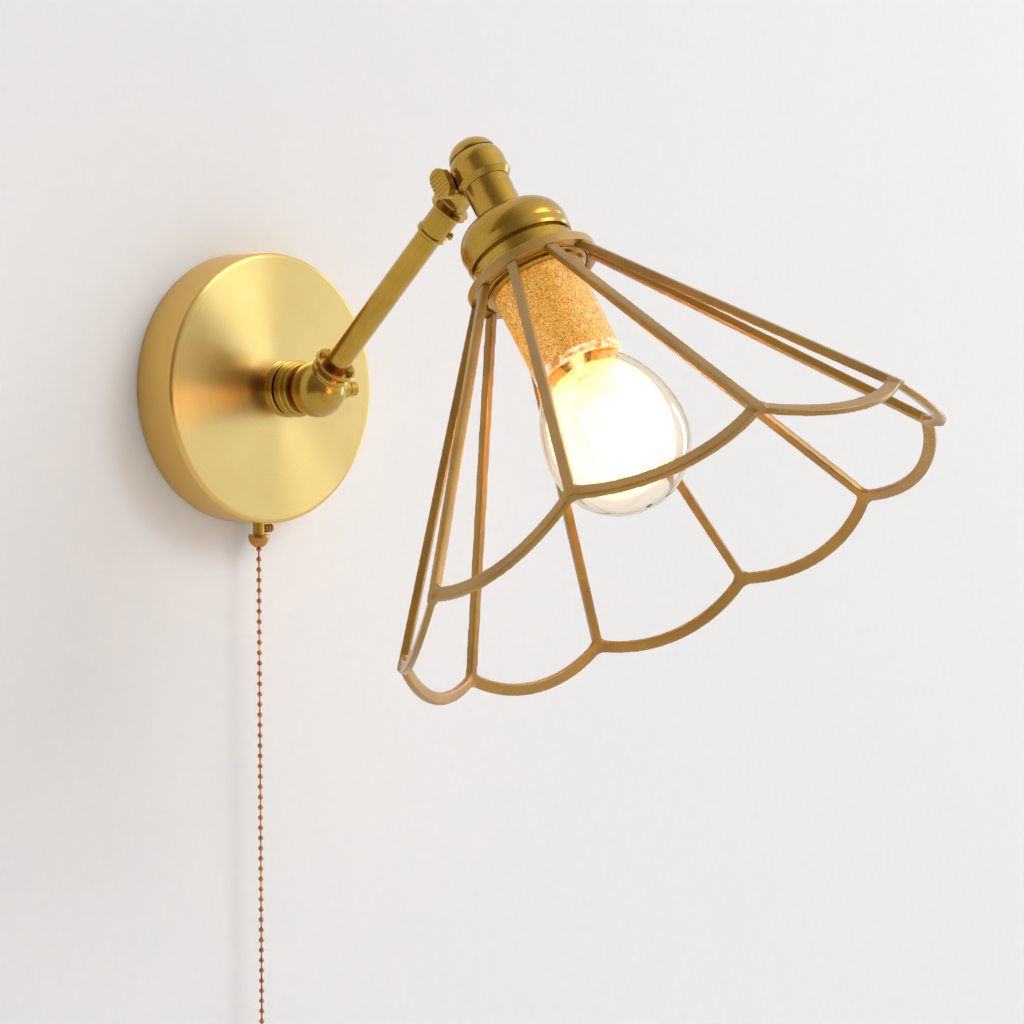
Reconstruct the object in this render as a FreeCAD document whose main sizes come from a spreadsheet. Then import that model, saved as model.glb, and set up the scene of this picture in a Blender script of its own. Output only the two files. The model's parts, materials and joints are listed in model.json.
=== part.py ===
import FreeCAD, Part
import math
import os
import Sketcher

# Adjustable wall sconce with a pull chain and an open scalloped wire shade.
# Origin: centre of the backplate's back face, on the wall. +Z is up, +X is to the right
# as the wall is faced, and the lamp projects towards -Y. Lengths are in millimetres.

DRIVING_SIZES = {
    # backplate and wall bracket
    "plate_diameter": 120.0,
    "plate_depth": 22.0,
    "plate_wall": 1.5,
    "plate_edge_radius": 2.0,
    "bracket_length": 100.0,
    "bracket_width": 20.0,
    "bracket_thickness": 2.0,
    "bracket_lift": 7.0,
    "bracket_raised_length": 44.0,
    "slot_spacing": 74.0,
    "slot_width": 5.0,
    "slot_length": 12.0,
    "nipple_diameter": 10.0,
    "nipple_bore": 7.2,
    "nipple_length": 26.0,
    "nut_flats": 14.0,
    "nut_thickness": 3.0,
    "ground_screw_diameter": 4.0,
    "ground_screw_offset": 15.0,
    # pull switch, its chain and the knob on the chain
    "switch_depth_position": 10.0,
    "switch_width": 20.0,
    "switch_height": 16.0,
    "switch_depth": 15.0,
    "nozzle_diameter": 5.2,
    "nozzle_bore": 3.0,
    "nozzle_drop": 5.4,
    "locknut_thickness": 2.0,
    "locknut_flats": 9.0,
    "guide_diameter": 9.4,
    "guide_height": 5.4,
    "guide_screw_length": 6.2,
    "guide_screw_diameter": 4.0,
    "chain_diameter": 2.4,
    "chain_length": 240.0,
    "chain_hidden": 11.0,
    "pull_knob_diameter": 11.0,
    "pull_knob_length": 27.0,
    # stem and swivel
    "stem_diameter": 15.0,
    "stem_length": 5.6,
    "stem_flange_diameter": 25.2,
    "stem_flange_thickness": 4.6,
    "spigot_diameter": 12.0,
    "washer_diameter": 21.6,
    "washer_thickness": 1.1,
    "swivel_gap": 0.2,
    "cup_ring_diameter": 24.8,
    "cup_ring_thickness": 4.2,
    "cup_step_diameter": 23.4,
    "cup_step_thickness": 2.6,
    # elbow ball and its clamp
    "elbow_distance": 49.0,
    "ball_diameter": 24.6,
    "ball_clearance": 0.3,
    "wire_bore": 7.0,
    "ear_thickness": 2.6,
    "ear_width": 9.0,
    "pin_diameter": 4.0,
    "running_clearance": 0.05,
    "elbow_nut_diameter": 6.8,
    "elbow_nut_length": 6.2,
    # arm
    "arm_elevation": 43.5,
    "arm_pivot_distance": 120.0,
    "arm_tube_diameter": 10.6,
    "arm_tube_wall": 1.0,
    "boss_diameter": 16.4,
    "boss_reach": 9.8,
    "collar_bead_diameter": 17.6,
    "collar_lip_diameter": 19.4,
    "collar_bead_height": 2.4,
    "collar_lip_height": 3.6,
    "collar_waist_depth": 1.4,
    "tube_socket_start": 7.5,
    "set_screw_diameter": 2.2,
    "set_screw_height": 4.6,
    "set_screw_reach": 1.9,
    "sleeve_start": 93.0,
    "sleeve_diameter": 12.2,
    "sleeve_bead_diameter": 13.4,
    "arm_flange_diameter": 16.8,
    "arm_flange_thickness": 1.5,
    "arm_flange_setback": 11.2,
    "eye_diameter": 11.0,
    "eye_thickness": 5.0,
    "side_clearance": 0.4,
    # head: each piece stands on the one below it, from the lower cup's foot up to the dome
    "head_tilt": 33.5,
    "pivot_offset": 9.6,
    "pivot_rise": 4.0,
    "barrel_diameter": 23.0,
    "barrel_top_diameter": 20.2,
    "barrel_body_height": 6.0,
    "barrel_crown_height": 5.0,
    "barrel_chamfer": 2.4,
    "barrel_seat_depth": 1.5,
    "barrel_bore": 17.0,
    "cheek_thickness": 3.1,
    "dome_height": 6.0,
    "dome_swell": 1.35,
    "dome_gap": 0.6,
    "neck_diameter": 19.0,
    "neck_bore": 14.0,
    "neck_length": 19.0,
    "neck_web_thickness": 6.0,
    "bell_diameter": 44.8,
    "bell_height": 17.0,
    "bell_shoulder": 13.0,
    "shell_wall": 1.4,
    "cup_gap": 0.9,
    "lower_cup_diameter": 42.6,
    "lower_cup_height": 7.7,
    "lower_cup_foot": 12.4,
    "lower_cup_spigot": 6.0,
    "thumb_knob_length": 13.2,
    "thumb_knob_width": 8.8,
    "thumb_knob_thickness": 3.6,
    "thumb_hub_diameter": 6.8,
    "thumb_knob_angle": 3.0,
    "pivot_nut_flats": 7.0,
    "pivot_nut_thickness": 3.0,
    # lampholder
    "sleeve_shell_diameter": 36.4,
    "sleeve_shell_wall": 1.3,
    "sleeve_shell_end": 31.6,
    "sleeve_shell_grip": 7.0,
    "collar_band_height": 3.4,
    "core_height": 15.0,
    "core_boss_height": 2.4,
    "contact_length": 12.0,
    "contact_width": 5.0,
    "contact_thickness": 0.4,
    "contact_hump_width": 2.8,
    "contact_hump_rise": 0.1,
    "screw_shell_length": 26.4,
    "screw_shell_bore": 26.8,
    "screw_shell_wall": 0.5,
    "gallery_diameter": 45.0,
    "gallery_height": 4.4,
    # lamp bulb
    "bulb_diameter": 56.6,
    "bulb_centre": 68.0,
    "bulb_neck_diameter": 32.0,
    "bulb_neck_end": 35.2,
    "glass_wall": 0.8,
    "cap_diameter": 26.4,
    "cap_length": 25.0,
    "cap_start": 1.0,
    "cap_tip_height": 6.5,
    "cap_rim_height": 2.5,
    "cap_grip": 3.0,
    "mount_taper": 12.0,
    "filament_length": 34.0,
    "filament_diameter": 1.8,
    "filament_spread": 8.0,
    "filament_wire": 0.7,
    # shade
    "ring_diameter": 55.0,
    "ring_height": 4.2,
    "ring_web": 2.2,
    "ring_lip": 4.4,
    "shade_drop": 111.7,
    "shade_rim_diameter": 219.6,
    "petal_count": 10.0,
    "petal_bulge": 10.5,
    "rib_width": 3.8,
    "rib_thickness": 3.4,
    "scallop_width": 5.0,
    "scallop_thickness": 2.4,
    "rib_phase": 12.8,
}


class Size:
    """A driving size or a formula of them, kept as a number and as a spreadsheet expression."""

    def __init__(self, value, text):
        self.value = float(value)
        self.text = text

    def __add__(self, other):
        other = as_size(other)
        return Size(self.value + other.value, "(" + self.text + " + " + other.text + ")")

    def __sub__(self, other):
        other = as_size(other)
        return Size(self.value - other.value, "(" + self.text + " - " + other.text + ")")

    def __mul__(self, other):
        other = as_size(other)
        return Size(self.value * other.value, "(" + self.text + " * " + other.text + ")")

    def __truediv__(self, other):
        other = as_size(other)
        return Size(self.value / other.value, "(" + self.text + " / " + other.text + ")")

    def __radd__(self, other):
        return as_size(other) + self

    def __rsub__(self, other):
        return as_size(other) - self

    def __rmul__(self, other):
        return as_size(other) * self

    def __rtruediv__(self, other):
        return as_size(other) / self

    def __neg__(self):
        return as_size(0) - self


def as_size(number):
    if isinstance(number, Size):
        return number
    return Size(number, repr(float(number)))


def cosine(angle):
    angle = as_size(angle)
    return Size(math.cos(math.radians(angle.value)), "cos(" + angle.text + ")")


def sine(angle):
    angle = as_size(angle)
    return Size(math.sin(math.radians(angle.value)), "sin(" + angle.text + ")")


def root(number):
    return Size(math.sqrt(number.value), "sqrt(" + number.text + ")")


def arc_sine(ratio):
    """Angle in degrees."""
    degrees = math.degrees(math.asin(ratio.value))
    return Size(degrees, "(asin(" + ratio.text + ") / 1 deg)")


class Frame:
    """A line of parts in the plane X = 0: its origin, and its turn about the X axis.

    Local Z runs along the line of parts, and local Y completes the frame."""

    def __init__(self, base_y, base_z, angle):
        self.base_y = as_size(base_y)
        self.base_z = as_size(base_z)
        self.angle = as_size(angle)

    def at(self, y, z):
        y = as_size(y)
        z = as_size(z)
        across = self.base_y + y * cosine(self.angle) - z * sine(self.angle)
        along = self.base_z + y * sine(self.angle) + z * cosine(self.angle)
        return across, along


X_DIRECTION = FreeCAD.Vector(1, 0, 0)
Y_DIRECTION = FreeCAD.Vector(0, 1, 0)
Z_DIRECTION = FreeCAD.Vector(0, 0, 1)
ALONG_X = FreeCAD.Rotation(Y_DIRECTION, 90)

document = FreeCAD.newDocument("wall_sconce")
sheet = document.addObject("Spreadsheet::Sheet", "Sizes")


class Sizes:
    """The driving sizes by name."""


D = Sizes()
for row, (alias, number) in enumerate(DRIVING_SIZES.items(), start=1):
    sheet.set("A%d" % row, alias)
    sheet.set("B%d" % row, str(number))
    sheet.setAlias("B%d" % row, alias)
    setattr(D, alias, Size(number, "Sizes." + alias))
document.recompute()

NODES = []


def keep(label, piece):
    """Registers a finished sub-part under its node name."""
    piece.Label = label
    NODES.append(piece)
    return piece


def bind(piece, prop, size):
    piece.setExpression(prop, as_size(size).text)


def place(piece, frame, x=0, y=0, z=0, turn=None):
    """Places a piece at a local point of a frame.

    With no turn it lies along the frame's own axis. A turn is relative to the frame."""
    across, along = frame.at(y, z)
    side = as_size(x)
    rotation = FreeCAD.Rotation(X_DIRECTION, frame.angle.value)
    if turn is not None:
        rotation = rotation.multiply(turn)
    base = FreeCAD.Vector(side.value, across.value, along.value)
    piece.Placement = FreeCAD.Placement(base, rotation)
    bind(piece, "Placement.Base.x", side)
    bind(piece, "Placement.Base.y", across)
    bind(piece, "Placement.Base.z", along)
    if turn is None:
        bind(piece, "Placement.Rotation.Angle", frame.angle)


def origin_feature(body, role):
    for feature in body.Origin.OriginFeatures:
        if feature.Role == role:
            return feature
    raise ValueError(role)


def new_sketch(body, plane):
    sketch = body.newObject("Sketcher::SketchObject", body.Name + "_sketch")
    sketch.AttachmentSupport = [(origin_feature(body, plane), "")]
    sketch.MapMode = "FlatFace"
    return sketch


def arc_between(start, end, radius):
    """Minor arc between two points. A positive radius turns left from start to end."""
    chord = end - start
    middle = (start + end) * 0.5
    left = FreeCAD.Vector(-chord.y, chord.x, 0)
    left.normalize()
    rise = math.sqrt(max(radius * radius - chord.Length ** 2 / 4, 0.0))
    centre = middle + left * math.copysign(rise, radius)
    first, last = (start, end) if radius > 0 else (end, start)
    from_angle = math.atan2(first.y - centre.y, first.x - centre.x)
    to_angle = math.atan2(last.y - centre.y, last.x - centre.x)
    circle = Part.Circle(centre, Z_DIRECTION, abs(radius))
    return Part.ArcOfCircle(circle, from_angle, to_angle)


def pin_point(sketch, geometry, end, x, y, name):
    """Fixes a point of the sketch by its two coordinates, each bound to its formula."""
    for kind, size in (("DistanceX", as_size(x)), ("DistanceY", as_size(y))):
        index = sketch.addConstraint(Sketcher.Constraint(kind, -1, 1, geometry, end, size.value))
        if "Sizes" in size.text:
            label = name + kind[-1]
            sketch.renameConstraint(index, label)
            sketch.setExpression("Constraints." + label, size.text)


def draw_outline(sketch, corners, name="corner"):
    """Draws a closed outline. A corner is (x, y) or (x, y, radius of the arc to the next one)."""
    count = len(corners)
    first_geometry = sketch.GeometryCount
    points = [FreeCAD.Vector(as_size(c[0]).value, as_size(c[1]).value, 0) for c in corners]
    starts = []
    ends = []
    for index, corner in enumerate(corners):
        start = points[index]
        end = points[(index + 1) % count]
        if len(corner) == 3:
            radius = as_size(corner[2])
            geometry = sketch.addGeometry(arc_between(start, end, radius.value), False)
            starts.append(1 if radius.value > 0 else 2)
            ends.append(2 if radius.value > 0 else 1)
        else:
            geometry = sketch.addGeometry(Part.LineSegment(start, end), False)
            starts.append(1)
            ends.append(2)
    for index in range(count):
        following = (index + 1) % count
        sketch.addConstraint(Sketcher.Constraint(
            "Coincident", first_geometry + index, ends[index],
            first_geometry + following, starts[following]))
    for index, corner in enumerate(corners):
        geometry = first_geometry + index
        pin_point(sketch, geometry, starts[index], corner[0], corner[1], name + str(index))
        if len(corner) == 3:
            radius = as_size(corner[2])
            size = radius if radius.value > 0 else -radius
            number = sketch.addConstraint(Sketcher.Constraint("Radius", geometry, size.value))
            sketch.renameConstraint(number, name + str(index) + "R")
            sketch.setExpression("Constraints." + name + str(index) + "R", size.text)


def turned(label, corners):
    """Body of revolution about its own Z axis. Corners are (radius, height[, arc radius])."""
    body = document.addObject("PartDesign::Body", label)
    sketch = new_sketch(body, "XZ_Plane")
    draw_outline(sketch, corners)
    revolution = body.newObject("PartDesign::Revolution", label + "_turned")
    revolution.Profile = sketch
    revolution.ReferenceAxis = (sketch, ["V_Axis"])
    revolution.Angle = 360
    sketch.Visibility = False
    return body


def padded(label, plane, corners, length, symmetric=True):
    """Body padded from an outline on one of its origin planes."""
    body = document.addObject("PartDesign::Body", label)
    sketch = new_sketch(body, plane)
    draw_outline(sketch, corners)
    pad = body.newObject("PartDesign::Pad", label + "_pad")
    pad.Profile = sketch
    pad.Midplane = symmetric
    bind(pad, "Length", length)
    return body


def polar_group(body, feature, count):
    """Repeats a body's feature evenly about the body's Z axis, as separate solids."""
    pattern = body.newObject("PartDesign::PolarPattern", body.Name + "_pattern")
    pattern.Originals = [feature]
    pattern.Axis = (origin_feature(body, "Z_Axis"), [""])
    pattern.Angle = 360
    bind(pattern, "Occurrences", count)
    body.Tip = pattern


def cylinder(label, radius, height):
    piece = document.addObject("Part::Cylinder", label)
    bind(piece, "Radius", radius)
    bind(piece, "Height", height)
    return piece


def box(label, length, width, height):
    """Box centred on its own X and Y, standing on its own Z = 0."""
    half_length = as_size(length) / 2
    half_width = as_size(width) / 2
    corners = [(-half_length, -half_width), (half_length, -half_width),
               (half_length, half_width), (-half_length, half_width)]
    return padded(label, "XY_Plane", corners, height, symmetric=False)


def hexagon(label, flats, thickness):
    piece = document.addObject("Part::Prism", label)
    piece.Polygon = 6
    bind(piece, "Circumradius", as_size(flats) / (2 * cosine(30)))
    bind(piece, "Height", thickness)
    return piece


def cut(label, base, tools):
    """Base with each tool taken away."""
    result = base
    for number, tool in enumerate(tools, start=1):
        step = document.addObject("Part::Cut", "%s_cut%d" % (label, number))
        step.Base = result
        step.Tool = tool
        result = step
    return result


def fuse(label, pieces):
    union = document.addObject("Part::MultiFuse", label + "_union")
    union.Shapes = pieces
    union.Refine = True
    return union


def group(label, pieces):
    """Separate solids that share one node."""
    compound = document.addObject("Part::Compound", label + "_group")
    compound.Links = pieces
    return compound


def tube(outer, inner, bottom, top):
    """Outline of a plain turned tube."""
    return [(inner, bottom), (outer, bottom), (outer, top), (inner, top)]


def sagitta_radius(width, rise, sagitta):
    """Radius of an arc over a chord with these two components, bulging by the sagitta."""
    chord_squared = width * width + rise * rise
    return (chord_squared / 4 + sagitta * sagitta) / (2 * sagitta)


# ---------------------------------------------------------------- frames
wall = Frame(0, 0, 90)
arm = Frame(-D.elbow_distance, 0, 90 - D.arm_elevation)
pivot_y, pivot_z = arm.at(0, D.arm_pivot_distance)
head_angle = 180 - D.head_tilt

# heights up the head's axis from the head's origin, which lies where the lamp cap starts
bell_rim_height = D.lower_cup_foot + D.lower_cup_height + D.cup_gap
neck_foot_height = bell_rim_height + D.bell_height
barrel_foot_height = neck_foot_height + D.neck_length
barrel_shoulder_height = barrel_foot_height + D.barrel_body_height
barrel_top_height = barrel_shoulder_height + D.barrel_crown_height
pivot_height = barrel_foot_height + D.pivot_rise

head_from_pivot = Frame(pivot_y, pivot_z, head_angle)
head_y, head_z = head_from_pivot.at(D.pivot_offset, pivot_height)
head = Frame(head_y, head_z, head_angle)


# ---------------------------------------------------------------- wall side
def make_backplate():
    outer = D.plate_diameter / 2
    inner = outer - D.plate_wall
    depth = D.plate_depth
    edge = D.plate_edge_radius
    hole = D.nipple_diameter / 2 + D.running_clearance
    inner_edge = edge - D.plate_wall / 2
    corners = [
        (inner, 0), (outer, 0), (outer, depth - edge, edge), (outer - edge, depth),
        (hole, depth), (hole, depth - D.plate_wall),
        (inner - inner_edge, depth - D.plate_wall, -inner_edge),
        (inner, depth - D.plate_wall - inner_edge)]
    pan = turned("backplate_pan", corners)
    place(pan, wall)
    drill = cylinder("nozzle_hole", D.nozzle_diameter / 2 + D.running_clearance,
                     D.plate_diameter / 2)
    down = FreeCAD.Rotation(X_DIRECTION, 90)
    place(drill, wall, z=D.switch_depth_position, turn=down)
    keep("backplate", cut("backplate", pan, [drill]))


def make_bracket():
    half = D.bracket_length / 2
    raised = D.bracket_raised_length / 2
    thick = D.bracket_thickness
    lift = D.bracket_lift
    ramp = lift * 0.6
    corners = [
        (-half, 0), (-raised - ramp, 0), (-raised, lift), (raised, lift), (raised + ramp, 0),
        (half, 0), (half, thick), (raised + ramp + thick * 0.5, thick),
        (raised + thick * 0.5, lift + thick), (-raised - thick * 0.5, lift + thick),
        (-raised - ramp - thick * 0.5, thick), (-half, thick)]
    strap = padded("bracket_strap", "XZ_Plane", corners, D.bracket_width)
    place(strap, wall)
    depth = lift + thick * 3
    bore = cylinder("bracket_bore", D.nipple_diameter / 2 + D.running_clearance, depth)
    place(bore, wall)
    ground = cylinder("ground_hole", D.ground_screw_diameter / 2 + D.running_clearance, depth)
    place(ground, wall, x=D.ground_screw_offset)
    tools = [bore, ground]
    for name, side in (("left", -1), ("right", 1)):
        middle = side * D.slot_spacing / 2
        radius = D.slot_width / 2
        reach = D.slot_length / 2 - radius
        corners = [(middle - reach, -radius), (middle + reach, -radius, radius),
                   (middle + reach + radius, 0, radius), (middle + reach, radius),
                   (middle - reach, radius, radius), (middle - reach - radius, 0, radius)]
        slot = padded(name + "_slot", "XY_Plane", corners, depth)
        place(slot, wall)
        tools.append(slot)
    keep("wall_bracket", cut("wall_bracket", strap, tools))


def make_nipple():
    start = D.bracket_lift - D.nut_thickness - 1
    piece = turned("nipple_tube", tube(D.nipple_diameter / 2, D.nipple_bore / 2,
                                       start, start + D.nipple_length))
    place(piece, wall)
    keep("threaded_nipple", piece)
    bracket_front = D.bracket_lift + D.bracket_thickness
    nuts = []
    for name, height in (("rear", D.bracket_lift - D.nut_thickness), ("front", bracket_front)):
        blank = hexagon(name + "_nut_blank", D.nut_flats, D.nut_thickness)
        place(blank, wall, z=height)
        bore = cylinder(name + "_nut_bore", D.nipple_diameter / 2 + D.running_clearance,
                        D.nut_thickness * 3)
        place(bore, wall, z=height - D.nut_thickness)
        nuts.append(cut(name + "_nut", blank, [bore]))
    keep("nipple_nuts", group("nipple_nuts", nuts))


def make_ground_screw():
    shank = D.ground_screw_diameter / 2
    top = D.bracket_lift + D.bracket_thickness
    corners = [(0, D.bracket_lift - 4), (shank, D.bracket_lift - 4), (shank, top),
               (shank * 1.85, top), (shank * 1.85, top + 1.6), (shank * 1.3, top + 2.4),
               (0, top + 2.4)]
    blank = turned("ground_screw_blank", corners)
    place(blank, wall, x=D.ground_screw_offset)
    slot = box("ground_screw_slot", shank * 5, 0.8, 2)
    place(slot, wall, x=D.ground_screw_offset, z=top + 1.4)
    keep("ground_screw", cut("ground_screw", blank, [slot]))


def make_switch():
    """Pull switch inside the plate. Its nozzle leaves through the plate's lower side."""
    down = FreeCAD.Rotation(X_DIRECTION, 90)
    inside = D.plate_diameter / 2 - D.plate_wall
    corner = D.locknut_flats / (2 * cosine(30))
    face = root(inside * inside - corner * corner) - D.locknut_thickness
    depth_position = D.switch_depth_position
    housing = box("switch_housing", D.switch_width, D.switch_depth, D.switch_height)
    place(housing, wall, y=-(face - D.switch_height), z=depth_position, turn=down)
    nozzle_end = D.plate_diameter / 2 + D.nozzle_drop
    nozzle = cylinder("switch_nozzle", D.nozzle_diameter / 2, nozzle_end - face + 1)
    place(nozzle, wall, y=1 - face, z=depth_position, turn=down)
    bore = cylinder("switch_bore", D.nozzle_bore / 2, nozzle_end)
    place(bore, wall, y=6 - face, z=depth_position, turn=down)
    across = cylinder("nozzle_cross_hole", D.guide_screw_diameter * 0.31 + D.running_clearance,
                      D.nozzle_diameter)
    height = D.plate_diameter / 2 + D.nozzle_drop * 0.55
    place(across, wall, y=-height, z=depth_position, turn=ALONG_X)
    body = fuse("pull_switch", [housing, nozzle])
    keep("pull_switch", cut("pull_switch", body, [bore, across]))

    blank = hexagon("locknut_blank", D.locknut_flats, D.locknut_thickness)
    place(blank, wall, y=-face, z=depth_position, turn=down)
    hole = cylinder("locknut_bore", D.nozzle_diameter / 2 + D.running_clearance,
                    D.locknut_thickness * 3)
    place(hole, wall, y=D.locknut_thickness - face, z=depth_position, turn=down)
    keep("switch_locknut", cut("switch_locknut", blank, [hole]))

    # acorn-shaped bell mouth on the nozzle's end
    radius = D.guide_diameter / 2
    bore_radius = D.nozzle_bore / 2
    tip = bore_radius + 0.35
    bulge = sagitta_radius(radius - tip, D.guide_height, as_size(0.9))
    corners = [(bore_radius, 0), (radius, 0), (radius, 0.5, bulge), (tip, D.guide_height + 0.5),
               (bore_radius, D.guide_height + 0.5)]
    guide = turned("chain_guide", corners)
    place(guide, wall, y=-nozzle_end, z=depth_position, turn=down)
    keep("chain_guide", guide)


def make_guide_screw():
    """Clamp screw across the nozzle, with three round grip rings and a ball end."""
    radius = D.guide_screw_diameter / 2
    start = D.nozzle_diameter / 2
    pitch = D.guide_screw_length / 3.4
    groove = radius * 0.62
    corners = [(0, -0.8), (groove, -0.8)]
    bulge = sagitta_radius(as_size(0), pitch * 0.86, radius - groove)
    for ring in range(3):
        low = pitch * (ring + 0.07)
        high = pitch * (ring + 0.93)
        corners.append((groove, low, bulge))
        corners.append((groove, high))
    stub = pitch * 3.3
    corners += [(radius * 0.35, pitch * 3), (radius * 0.35, stub), (0, stub)]
    screw = turned("guide_screw", corners)
    height = D.plate_diameter / 2 + D.nozzle_drop * 0.55
    place(screw, wall, x=start, y=-height, z=D.switch_depth_position,
          turn=FreeCAD.Rotation(Y_DIRECTION, 90))
    keep("guide_screw", screw)


def make_chain():
    """Chain that hangs straight down as a plain rod, with a turned knob on its end."""
    down = FreeCAD.Rotation(X_DIRECTION, 90)
    guide_tip = D.plate_diameter / 2 + D.nozzle_drop + D.guide_height + 0.5
    chain_top = guide_tip - D.chain_hidden
    length = D.chain_length
    chain = cylinder("pull_chain", D.chain_diameter / 2, length)
    place(chain, wall, y=-chain_top, z=D.switch_depth_position, turn=down)
    keep("pull_chain", chain)

    radius = D.pull_knob_diameter / 2
    size = D.pull_knob_length
    waist = radius * 0.42
    swell = sagitta_radius(radius - waist, size * 0.52, as_size(2.4))
    corners = [(0, 0), (waist * 0.8, 0), (waist, 0.8), (waist, size * 0.12),
               (waist * 1.4, size * 0.14), (waist * 1.4, size * 0.2), (waist, size * 0.22),
               (waist, size * 0.26, swell), (radius, size * 0.78), (radius, size * 0.9),
               (radius * 0.8, size), (0, size)]
    knob = turned("pull_knob", corners)
    place(knob, wall, y=-(chain_top + length), z=D.switch_depth_position, turn=down)
    keep("pull_knob", knob)


# ---------------------------------------------------------------- stem and swivel
def make_stem():
    stem = D.stem_diameter / 2
    flange = D.stem_flange_diameter / 2
    spigot = D.spigot_diameter / 2
    base = D.plate_depth
    ring = base + D.stem_length
    front = ring + D.stem_flange_thickness
    end = front + D.washer_thickness + D.swivel_gap + 2.4
    thread = D.nipple_diameter / 2 + D.running_clearance
    seat = D.bracket_lift - D.nut_thickness - 1 + D.nipple_length + 0.4
    bore = D.wire_bore / 2
    rim = 0.8
    corners = [(thread, base), (stem, base), (stem, ring), (flange - rim, ring, rim),
               (flange, ring + rim), (flange, front - rim, rim), (flange - rim, front),
               (spigot, front), (spigot, end), (bore, end), (bore, seat), (thread, seat)]
    piece = turned("stem", corners)
    place(piece, wall)
    keep("stem", piece)

    washer = turned("swivel_washer", tube(D.washer_diameter / 2, spigot + D.running_clearance,
                                          front, front + D.washer_thickness))
    place(washer, wall)
    keep("swivel_washer", washer)
    return front + D.washer_thickness + D.swivel_gap


def make_elbow_cup(start):
    """Cup that swivels on the stem and holds the ball, with one clamp ear on its +X side."""
    ring = D.cup_ring_diameter / 2
    step = D.cup_step_diameter / 2
    ring_end = start + D.cup_ring_thickness
    step_end = ring_end + D.cup_step_thickness
    bore = D.spigot_diameter / 2 + D.running_clearance
    recess = D.ball_diameter / 2 + D.ball_clearance
    centre = D.elbow_distance
    rim_depth = centre - step_end
    rim_radius = root(recess * recess - rim_depth * rim_depth)
    floor_height = centre - root(recess * recess - bore * bore)
    rim = 0.8
    corners = [(bore, start), (ring - rim, start, rim), (ring, start + rim),
               (ring, ring_end - rim, rim), (ring - rim, ring_end), (step, ring_end),
               (step, step_end - rim, rim), (step - rim, step_end), (rim_radius, step_end,
               -recess), (bore, floor_height)]
    cup = turned("elbow_cup_body", corners)
    place(cup, wall)

    inner = D.ball_diameter / 2 + D.ball_clearance
    outer = inner + D.ear_thickness
    half = D.ear_width / 2
    # side view of the ear: a bar from the cup's ring to a round end about the pivot
    corners = [(start + 1, -half), (centre, -half, half), (centre + half, 0, half),
               (centre, half), (start + 1, half)]
    blade = padded("ear_blade", "XY_Plane", corners, D.ear_thickness, symmetric=False)
    upright = FreeCAD.Rotation(Y_DIRECTION, -90)
    place(blade, wall, x=outer, turn=upright)
    foot = box("ear_foot", outer - step * 0.7, D.ear_width, D.cup_ring_thickness - 1)
    place(foot, wall, x=(outer + step * 0.7) / 2, z=start + 1)
    hole = cylinder("ear_hole", D.pin_diameter / 2 + D.running_clearance, D.ear_thickness * 3)
    place(hole, wall, x=inner - D.ear_thickness, z=centre, turn=ALONG_X)
    recess_ball = document.addObject("Part::Sphere", "cup_recess")
    bind(recess_ball, "Radius", recess)
    place(recess_ball, wall, z=centre)
    solid = fuse("elbow_cup", [cup, blade, foot])
    keep("elbow_cup", cut("elbow_cup", solid, [recess_ball, hole]))


def make_elbow_clamp():
    """Pivot pin in the ear, the thumb nut on its end and a thin washer between them."""
    pin = D.pin_diameter / 2
    inner_end = D.wire_bore / 2 + 0.6
    ear_outer = D.ball_diameter / 2 + D.ball_clearance + D.ear_thickness
    nut_start = ear_outer + 1.0
    pin_end = nut_start + D.elbow_nut_length - 2
    shaft = cylinder("elbow_pivot_pin", pin, pin_end - inner_end)
    place(shaft, wall, x=inner_end, z=D.elbow_distance, turn=ALONG_X)
    keep("elbow_pivot_pin", shaft)

    washer = turned("elbow_clamp_washer", tube(pin + 2.4, pin + D.running_clearance, 0, 0.9))
    place(washer, wall, x=ear_outer, z=D.elbow_distance, turn=ALONG_X)
    keep("elbow_clamp_washer", washer)

    radius = D.elbow_nut_diameter / 2
    length = D.elbow_nut_length
    bore = pin + D.running_clearance
    corners = [(bore, 0), (radius * 0.82, 0), (radius * 0.82, 1.4), (radius, 1.8),
               (radius, length - 0.8), (radius - 0.8, length), (0, length), (0, length - 1.7),
               (bore, length - 1.7)]
    blank = turned("elbow_thumb_blank", corners)
    place(blank, wall, x=nut_start, z=D.elbow_distance, turn=ALONG_X)
    tools = []
    for number in range(8):
        groove = cylinder("elbow_thumb_groove%d" % number, 0.45, length)
        angle = 45 * number
        place(groove, wall, x=nut_start + 2.2, y=radius * cosine(angle),
              z=D.elbow_distance + radius * sine(angle), turn=ALONG_X)
        tools.append(groove)
    keep("elbow_thumb_nut", cut("elbow_thumb_nut", blank, tools))


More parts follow.
